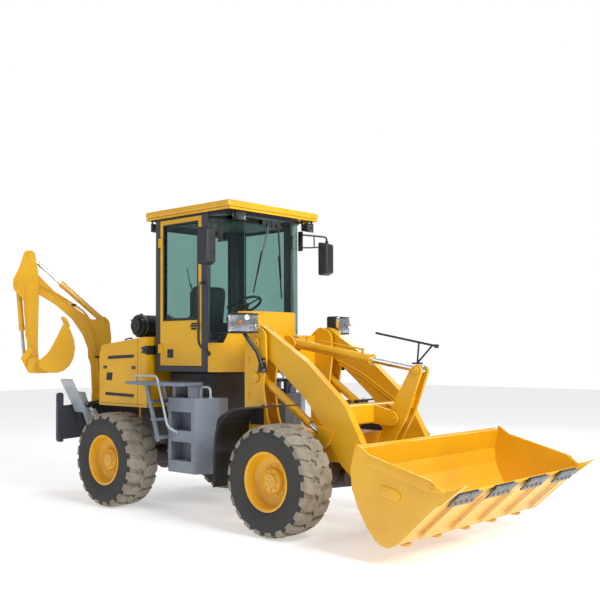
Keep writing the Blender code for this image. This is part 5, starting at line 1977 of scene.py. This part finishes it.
def makeStepTrim(hand, side):
    r = stepLook["rail"]
    parts = []

    def spot(x, y, z):
        return (aft(x), side * y, z)

    rail = [
        spot(0.46, 0.955, 1.43),
        spot(0.47, 0.965, 1.505),
        spot(0.86, 0.975, 1.505),
        spot(1.045, 0.975, 0.96),
        spot(1.075, 0.865, 0.90),
    ]
    parts.append((tube(rail, r, 0.06), "legPaint"))
    arch = [
        spot(1.26, 0.70, 1.265),
        spot(1.265, 0.70, 1.385),
        spot(1.42, 0.70, 1.385),
        spot(1.425, 0.70, 1.265),
    ]
    parts.append((tube(arch, r, 0.06), "legPaint"))
    for x, y in ((1.26, 0.70), (1.425, 0.70)):
        parts.append((rod(spot(x, y, 1.268), spot(x, y, 1.278), 0.026, 20, bevel=0.003), "legPaint"))
    cap = lathe(
        [(0, 0.045), (0.040, 0.045), (0.048, 0.036), (0.048, 0.010), (0.062, 0.006), (0.062, 0)],
        spot(1.08, 0.70, 1.27),
        (0, 0, 1),
        40,
    )
    parts.append((cap, "blackPlastic"))
    # raised studs on each tread
    stud = lathe([(0.011, 0.0), (0.009, 0.004), (0.006, 0.0045)], (0, 0, 0), (0, 0, 1), 8)
    for z, x0, x1, y0, y1 in ((0.60, 0.98, 1.28, 0.725, 0.835), (0.92, 0.98, 1.28, 0.725, 0.835)):
        for k in range(stepLook["studRows"]):
            y = y0 + (y1 - y0) * k / (stepLook["studRows"] - 1)
            unit = turned(stud.copy(), Matrix.Translation(spot(x0, y, z + 0.0005)))
            count = stepLook["studs"]
            row = repeated("row", unit, "stepPaint", count, step=((x1 - x0) / (count - 1), 0, 0))
            parts.append((row, "stepPaint"))
    for share in (0.3, 0.62, 0.94):
        x, z = 0.66 + 0.21 * share, 1.40 - 0.60 * share + 0.012
        for dx in (-0.03, 0.0, 0.03):
            unit = turned(stud.copy(), Matrix.Translation(spot(x + dx, 0.745, z)))
            row = repeated("row", unit, "stepPaint", 6, step=(0, side * 0.038, 0))
            parts.append((row, "stepPaint"))
    for dx in (0.30, 0.56):
        for dy in (0.78, 0.86, 0.93):
            unit = turned(stud.copy(), Matrix.Translation(spot(dx, dy, 1.4355)))
            parts.append((repeated("row", unit, "stepPaint", 6, step=(0.045, 0, 0)), "stepPaint"))
    parts.append(boltRow(spot(0.915, 0.861, 0.52), (0, 0, 0.17), (0, side, 0), 5, 0.009))
    parts.append(boltRow(spot(1.340, 0.861, 0.52), (0, 0, 0.17), (0, side, 0), 5, 0.009))
    parts.append(
        (
            block(
                spot(0.93, 0.858, 0.575) if side > 0 else spot(0.93, 0.866, 0.575),
                spot(1.325, 0.866, 0.598) if side > 0 else spot(1.325, 0.858, 0.598),
                0.002,
            ),
            "stepPaint",
        ),
    )
    assemble("step_trim_" + hand, "rear_machine", parts)
    bpy.data.meshes.remove(stud)


for hand, side in sides.items():
    makeStepTrim(hand, side)
print("steps fitted")


# ---- loader bucket

bucketLook = {
    "edgeGroups": 4,
    "edgeInset": 0.30,
    "edgeLength": 0.36,
    "wearStrips": 5,
}


def makeBucketTrim():
    look = bucketLook
    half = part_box("loader_bucket")[1].y
    run, rise = 0.428, 0.394
    length = math.hypot(run, rise)
    along = (run / length, rise / length)
    up = (-along[1], along[0])
    tip = (2.088, 0.626)

    def onSheet(back, lift):
        # a place measured back from the cutting edge and up from the sheet's top face
        return (ahead(tip[0] - along[0] * back + up[0] * lift), tip[1] - along[1] * back + up[1] * lift)

    parts = []
    for side in (-1, 1):
        face = side * half
        top = [(ahead(1.335), 0.905), (ahead(1.958), 0.747), (ahead(2.085), 0.660)]
        low = [(ahead(2.01), 0.652), (ahead(1.93), 0.660), (ahead(1.322), 0.812)]
        parts.append(
            (
                plate(top + low, *sorted((face - side * 0.004, face + side * 0.010)), "y", 0.003),
                "yellowPaint",
            ),
        )
        for x in (1.42, 1.56):
            parts.append(
                boltRow(
                    (ahead(x), face + side * 0.010, 0.853 - (x - 1.42) * 0.25),
                    (0, 0, 0),
                    (0, side, 0),
                    1,
                    0.004,
                    "yellowPaint",
                ),
            )
        shape = [
            (-0.105, 0.014),
            (-0.085, 0.045),
            (0.065, 0.052),
            (0.105, 0.020),
            (0.085, -0.040),
            (-0.075, -0.045),
        ]
        spots = [(ahead(1.56 + dx), 0.60 + dz - dx * 0.22) for dx, dz in shape]
        parts.append(
            (
                plate(spots, *sorted((face - side * 0.002, face + side * 0.012)), "y", 0.006),
                "yellowPaint",
            ),
        )
        ring = [(0.020, 0.0), (0.026, 0.004), (0.032, 0.004), (0.036, 0.0)]
        parts.append(
            (lathe(ring, (ahead(1.975), face + side * 0.010, 0.700), (0, side, 0), 32), "yellowPaint")
        )
        parts.append(
            boltRow(
                (ahead(1.975), face + side * 0.010, 0.700),
                (0, 0, 0),
                (0, side, 0),
                1,
                0.013,
                "yellowPaint",
            ),
        )
        # corner tooth: a curved blade that carries the side plate on to the edge
        y0, y1 = sorted((side * (half - 0.085), side * (half - 0.004)))
        tooth = [
            (ahead(2.262), 0.730),
            (ahead(2.175), 0.690),
            (ahead(2.095), 0.675),
            (ahead(2.060), 0.640),
            (ahead(2.060), 0.598),
            (ahead(2.120), 0.640),
        ]
        parts.append((plate(tooth, y0, y1, "y", 0.004), "yellowPaint"))
    # bolt-on edge in groups, dark and worn, with its bolts
    spread = 2 * (half - look["edgeInset"])
    for k in range(look["edgeGroups"]):
        y = -spread / 2 + spread * k / (look["edgeGroups"] - 1)
        for shift, reach in ((-0.5, 0.035), (0.5, 0.035)):
            y0 = y + shift * look["edgeLength"] / 2 - look["edgeLength"] / 4
            y1 = y0 + look["edgeLength"] / 2 - 0.006
            outline = [
                onSheet(0.11, -0.021),
                onSheet(-reach, -0.021),
                onSheet(-reach - 0.012, -0.030),
                onSheet(-reach, -0.038),
                onSheet(0.11, -0.038),
            ]
            parts.append((plate(outline, y0, y1, "y", 0.003), "wornSteel"))
        cover = [
            onSheet(0.045, 0.003),
            onSheet(-0.020, 0.003),
            onSheet(-0.034, -0.006),
            onSheet(-0.034, -0.022),
            onSheet(0.0, -0.022),
        ]
        parts.append(
            (
                plate(cover, y - look["edgeLength"] * 0.40, y + look["edgeLength"] * 0.40, "y", 0.003),
                "blackSteel",
            ),
        )
        x, z = onSheet(0.012, 0.003)
        parts.append(boltRow((x, y - 0.10, z), (0, 0.20, 0), (up[0], 0, up[1]), 2, 0.014, "wornSteel"))
        x, z = onSheet(0.06, -0.039)
        parts.append(boltRow((x, y - 0.12, z), (0, 0.08, 0), (-up[0], 0, -up[1]), 4, 0.012, "wornSteel"))
    # wear strips and bolt heads beneath
    for k in range(look["wearStrips"]):
        y = (k - (look["wearStrips"] - 1) / 2) * 0.46
        outline = [
            onSheet(0.12, -0.019), onSheet(0.12, -0.032), onSheet(0.56, -0.032), onSheet(0.58, -0.019)
        ]
        parts.append((plate(outline, y - 0.03, y + 0.03, "y", 0.002), "yellowPaint"))
        parts.append(
            (
                block((ahead(1.44), y - 0.035, 0.137), (ahead(1.56), y + 0.035, 0.163), 0.004),
                "yellowPaint",
            ),
        )
    # stiffener along the top edge at the back
    parts.append(
        (
            block((ahead(1.158), -half + 0.03, 0.925), (ahead(1.178), half - 0.03, 0.965), 0.005),
            "yellowPaint",
        ),
    )
    assemble("bucket_trim", "bucket", parts)


makeBucketTrim()


# ---- loader linkage: pin ends, hoses, level rod

def pinEnd(x, y, z, side, radius):
    # A pin's end: a flange, a raised head and its keeper bolt
    profile = [
        (0, 0.014),
        (radius * 0.45, 0.014),
        (radius * 0.52, 0.008),
        (radius * 0.92, 0.008),
        (radius, 0.003),
        (radius, -0.003),
    ]
    cap = lathe(profile, (x, y, z), (0, side, 0), 32)
    return [
        (cap, "yellowPaint"),
        boltRow((x + radius * 0.66, y + side * 0.006, z), (0, 0, 0), (0, side, 0), 1, 0.007),
    ]


def makeLoaderTrim():
    parts = []
    for side in (-1, 1):
        outer = side * 0.551
        for x, z, radius in ((0.30, 0.90, 0.050), (1.10, 0.36, 0.052)):
            parts += pinEnd(ahead(x), outer, z, side, radius)
        parts += pinEnd(ahead(0.79), side * 0.104, 1.113, side, 0.045)
        rail = side * 0.472
        for lift in (0.0, 0.035):
            pipe = [
                (ahead(-0.40), rail, 1.66 - lift),
                (ahead(-0.05), rail, 1.52 - lift),
                (ahead(0.38), rail, 1.26 - lift),
            ]
            parts.append((tube(pipe, 0.009, 0.10), "yellowPaint"))
    # cross tube pipes and clamps between the arms
    for y in (-0.055, 0.0, 0.055):
        pipe = [(ahead(0.18), y, 1.285), (ahead(0.36), y, 1.235), (ahead(0.50), y * 1.5, 1.190)]
        parts.append((tube(pipe, 0.010, 0.06), "yellowPaint"))
    parts.append((block((ahead(0.28), -0.085, 1.235), (ahead(0.33), 0.085, 1.275), 0.006), "blackSteel"))
    assemble("loader_arm_trim", "arms", parts)
    # towers: pin ends, bolts
    parts = []
    for side in (-1, 1):
        face = side * 0.6205
        parts += pinEnd(ahead(-0.60), face, 1.85, side, 0.062)
        parts += pinEnd(ahead(-0.60), face, 1.50, side, 0.055)
        parts.append(
            boltRow((ahead(-0.70), face, 1.66), (0, 0, 0.04), (0, side, 0), 2, 0.010, "yellowPaint")
        )
        parts.append(
            boltRow((ahead(-0.70), face, 1.30), (0, 0, 0.04), (0, side, 0), 2, 0.010, "yellowPaint")
        )
    assemble("tower_trim", "front_machine", parts)
    # tilt cylinder: gland with its bolts, hose fittings and the level rod
    base, eye = Vector((ahead(-0.60), 0, 1.85)), Vector((ahead(1.031), 0, 1.583))
    axis = (eye - base).normalized()
    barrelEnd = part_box("tilt_barrel")[1].x
    gland = base + axis * ((barrelEnd - base.x) / axis.x - 0.012)
    ring = [(0.030, -0.03), (0.052, -0.03), (0.062, -0.022), (0.062, -0.004), (0.052, 0.0), (0.030, 0.0)]
    parts = [
        (lathe(ring, gland, axis, 40), "yellowPaint"),
        boltRing(gland, axis, 8, 0.047, 0.008, "zincBolt"),
    ]
    for share in (0.16, 0.88):
        spot = base + axis * ((gland - base).length * share)
        top = spot + Vector((0, 0, 0.078))
        parts.append((rod(spot + Vector((0, 0, 0.04)), top, 0.017, 16, bevel=0.003), "yellowPaint"))
        parts.append((rod(top, top + Vector((0, 0, 0.016)), 0.013, 6), "zincBolt"))
    steel = base + axis * ((gland - base).length * 0.88) + Vector((0, 0.018, 0.082))
    near = base + axis * ((gland - base).length * 0.30) + Vector((0, 0.030, 0.078))
    parts.append(
        (tube([steel, steel - axis * 0.10 + Vector((0, 0.01, 0)), near], 0.009, 0.04), "yellowPaint")
    )
    assemble("tilt_cylinder_trim", "tilt_barrel", parts)
    level = [(ahead(0.500), 0, 1.846), (ahead(1.218), 0, 1.712)]
    lift = Vector((0, 0, 0.10))
    start, end = Vector(level[0]) + lift, Vector(level[1]) + lift
    parts = [(rod(start, end, 0.011, 14), "blackSteel")]
    foot = eye - axis * 0.03 + Vector((0, 0, 0.062))
    for reach in (0.20, 0.04):
        joint = end - (end - start).normalized() * reach
        parts.append((rod(foot, joint, 0.009, 10), "blackSteel"))
    parts.append(
        (
            block(foot - Vector((0.05, 0.020, 0.012)), foot + Vector((0.05, 0.020, 0.006)), 0.003),
            "blackSteel",
        ),
    )
    parts.append(
        (
            rod(end - Vector((0.01, 0, 0)), end + Vector((0.022, 0, -0.004)), 0.019, 14, bevel=0.003),
            "blackSteel",
        ),
    )
    assemble("level_indicator", "tilt_rod", parts)
    parts = []
    for side in (-1, 1):
        parts += pinEnd(ahead(1.031), side * 0.0785, 1.583, side, 0.040)
        parts += pinEnd(ahead(0.52), side * 0.0785, 0.60, side, 0.036)
    assemble("rocker_trim", "rocker", parts)


makeLoaderTrim()
print("loader fitted")


# ---- mudguards, frames and stabilizers

def makeFrameTrim():
    for hand, side in sides.items():
        low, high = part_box("mudguard_" + hand)
        parts = [boltRow((ahead(-0.50), side * 0.66, high.z - 0.006), (0.10, 0, 0), (0, 0, 1), 4, 0.010)]
        lip = [
            (low.x + 0.008, side * 1.040, 0.46),
            (low.x + 0.030, side * 1.040, 1.00),
            (ahead(-0.50), side * 1.040, high.z - 0.045),
            (ahead(-0.20), side * 1.040, high.z - 0.022),
        ]
        parts.append((tube(lip, 0.009, 0.12), "blackPlastic"))
        assemble("mudguard_trim_" + hand, "front_machine", parts)
    low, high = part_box("stabilizer_frame")
    parts = []
    for side in (-1, 1):
        for y, z, step in (
            (0.32, 0.47, 0.20),
            (0.44, 0.47, 0.20),
            (0.60, 0.76, 0.14),
            (0.78, 0.76, 0.14),
            (0.91, 0.76, 0.14),
        ):
            parts.append(boltRow((aft(-1.041), side * y, z), (0, 0, step), (-1, 0, 0), 3, 0.014))
    parts.append(
        (
            tube(
                [
                    (aft(-0.99), -0.95, 1.10),
                    (aft(-0.99), -0.30, 1.16),
                    (aft(-0.99), 0.30, 1.16),
                    (aft(-0.99), 0.95, 1.10),
                ],
                0.012,
                0.2,
            ),
            "hoseRubber",
        ),
    )
    assemble("stabilizer_frame_trim", "rear_machine", parts)


makeFrameTrim()


def makeLegTrim():
    for hand, side in sides.items():
        parts = []
        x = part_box("stabilizer_pad_" + hand)[1].x
        for k in range(3):
            y, z = 0.805 + 0.055 * k, 1.13 + 0.11 * k
            parts.append(
                (
                    rod((x - 0.224, side * y, z), (x - 0.130, side * y, z), 0.010, 12, bevel=0.002),
                    "legPaint",
                ),
            )
        assemble("pad_trim_" + hand, "pad_" + hand, parts)


makeLegTrim()
print("frames fitted")


# ---- backhoe: pins, pipes and hoses in its own upright plane

hoeLook = {"swing": 58.6, "swingPlace": -1.237, "pipe": 0.009}


def hoePlace(out, height, across=0.0):
    yaw = math.radians(180 + hoeLook["swing"])
    x = aft(hoeLook["swingPlace"]) + out * math.cos(yaw) - across * math.sin(yaw)
    return Vector((x, out * math.sin(yaw) + across * math.cos(yaw), height))


def hoePin(out, height, across, radius):
    sideways = (hoePlace(0, 0, 1) - hoePlace(0, 0)).normalized()
    parts = []
    for side in (-1, 1):
        profile = [
            (0, 0.012), (radius * 0.5, 0.012), (radius * 0.58, 0.006), (radius, 0.004), (radius, -0.004)
        ]
        parts.append(
            (lathe(profile, hoePlace(out, height, side * across), sideways * side, 28), "yellowPaint")
        )
    return parts


def makeHoeTrim():
    look = hoeLook
    parts = []
    for out, height, across, radius in (
        (1.10, 2.70, 0.106, 0.050), (0.327, 1.737, 0.082, 0.038), (0.18, 2.171, 0.082, 0.030)
    ):
        parts += hoePin(out, height, across, radius)
    for across in (-0.078, 0.078):
        for shift in (0.0, 0.032):
            route = [
                (0.235 - shift, 1.42),
                (0.30 - shift, 1.95),
                (0.42 - shift, 2.24 + shift),
                (0.72, 2.46 + shift),
                (0.98, 2.60 + shift),
            ]
            parts.append(
                (tube([hoePlace(u, z, across) for u, z in route], look["pipe"], 0.12), "yellowPaint")
            )
    for u, z in ((0.262, 1.70), (0.56, 2.375)):
        for across in (-0.080, 0.080):
            spot = hoePlace(u, z, across)
            parts.append(
                (
                    block(
                        spot - Vector((0.035, 0.020, 0.012)),
                        spot + Vector((0.035, 0.020, 0.012)),
                        0.005,
                    ),
                    "blackSteel",
                ),
            )
    assemble("boom_trim", "boom", parts)
    parts = []
    for out, height, across, radius in ((1.106, 3.005, 0.107, 0.034), (1.245, 2.635, 0.107, 0.034)):
        parts += hoePin(out, height, across, radius)
    for across in (-0.109, 0.109):
        route = [(1.15, 2.62), (1.16, 2.30), (1.14, 1.95)]
        parts.append((tube([hoePlace(u, z, across) for u, z in route], look["pipe"], 0.12), "yellowPaint"))
    assemble("dipper_trim", "dipper", parts)
    parts = hoePin(0.23, 1.20, 0.126, 0.045) + hoePin(0.25, 0.48, 0.126, 0.042)
    top = Vector((aft(look["swingPlace"]), 0, 1.172))
    parts.append(
        (
            lathe([(0, 0.014), (0.030, 0.014), (0.052, 0.008), (0.056, -0.006)], top, (0, 0, 1), 36),
            "yellowPaint",
        ),
    )
    assemble("swing_post_trim", "swing_post", parts)


makeHoeTrim()
print("backhoe fitted")


# ---- floor, light and camera

stageLook = {
    "floorSize": 60,
    "world": (0.97, 0.98, 1.0, 1),
    "worldStrength": 0.46,
    "backdrop": 1.0,
    "keyPower": 900,
    "fillPower": 70,
    "rimPower": 240,
    "lens": 53.25,
    "shift": (-0.0345, 0.0406),
    "eye": (5.983, -6.979, 1.779),
    "heading": 131.72,
    "pitch": 1.65,
    "roll": -0.22,
}


def makeFloor():
    size = stageLook["floorSize"] / 2
    work = bmesh.new()
    bmesh.ops.create_grid(work, x_segments=1, y_segments=1, size=size)
    mesh = bpy.data.meshes.new("floor")
    work.to_mesh(mesh)
    work.free()
    mesh.materials.append(finishes["paleFloor"])
    floor = bpy.data.objects.new("floor", mesh)
    bpy.context.scene.collection.objects.link(floor)


makeFloor()


def softBox(name, place, aim, power, size):
    lamp = bpy.data.lights.new(name, "AREA")
    lamp.energy = power
    lamp.shape = "RECTANGLE"
    lamp.size, lamp.size_y = size
    holder = bpy.data.objects.new(name, lamp)
    holder.location = place
    holder.rotation_euler = (Vector(aim) - Vector(place)).to_track_quat("-Z", "Y").to_euler()
    bpy.context.scene.collection.objects.link(holder)


softBox("keyLight", (9.0, -1.0, 7.0), (0, 0, 1.2), stageLook["keyPower"], (4.5, 4.5))
softBox("fillLight", (-4.0, -9.0, 5.0), (-0.5, 0, 1.2), stageLook["fillPower"], (6, 4))
softBox("rimLight", (-3.0, 8.0, 6.5), (0, 0, 1.5), stageLook["rimPower"], (6, 3))

world = bpy.data.worlds.new("studio")
bpy.context.scene.world = world
world.use_nodes = True
tree = world.node_tree
sky = tree.nodes["Background"]
sky.inputs["Color"].default_value = stageLook["world"]
sky.inputs["Strength"].default_value = stageLook["worldStrength"]
backdrop = addNode(tree, "ShaderNodeBackground", (0, -160))
backdrop.inputs["Color"].default_value = (1, 1, 1, 1)
backdrop.inputs["Strength"].default_value = stageLook["backdrop"]
seen = addNode(tree, "ShaderNodeLightPath", (0, 240))
choice = addNode(tree, "ShaderNodeMixShader", (260, 0))
tree.links.new(seen.outputs["Is Camera Ray"], choice.inputs[0])
tree.links.new(sky.outputs[0], choice.inputs[1])
tree.links.new(backdrop.outputs[0], choice.inputs[2])
tree.links.new(choice.outputs[0], tree.nodes["World Output"].inputs["Surface"])
bpy.context.scene.view_settings.view_transform = "Standard"


def makeCamera():
    look = stageLook
    lens = bpy.data.cameras.new("camera")
    lens.lens = look["lens"]
    lens.sensor_width = 36
    lens.shift_x, lens.shift_y = look["shift"]
    camera = bpy.data.objects.new("camera", lens)
    bpy.context.scene.collection.objects.link(camera)
    heading, pitch = math.radians(look["heading"]), math.radians(look["pitch"])
    facing = Vector(
        (math.cos(heading) * math.cos(pitch), math.sin(heading) * math.cos(pitch), math.sin(pitch))
    )
    turn = facing.to_track_quat("-Z", "Y").to_matrix().to_4x4() @ Matrix.Rotation(
        math.radians(look["roll"]), 4, "Z"
    )
    ex, ey, ez = look["eye"]
    camera.matrix_world = Matrix.Translation((ahead(ex), ey, ez)) @ turn
    bpy.context.scene.camera = camera


makeCamera()
print("stage and camera set")
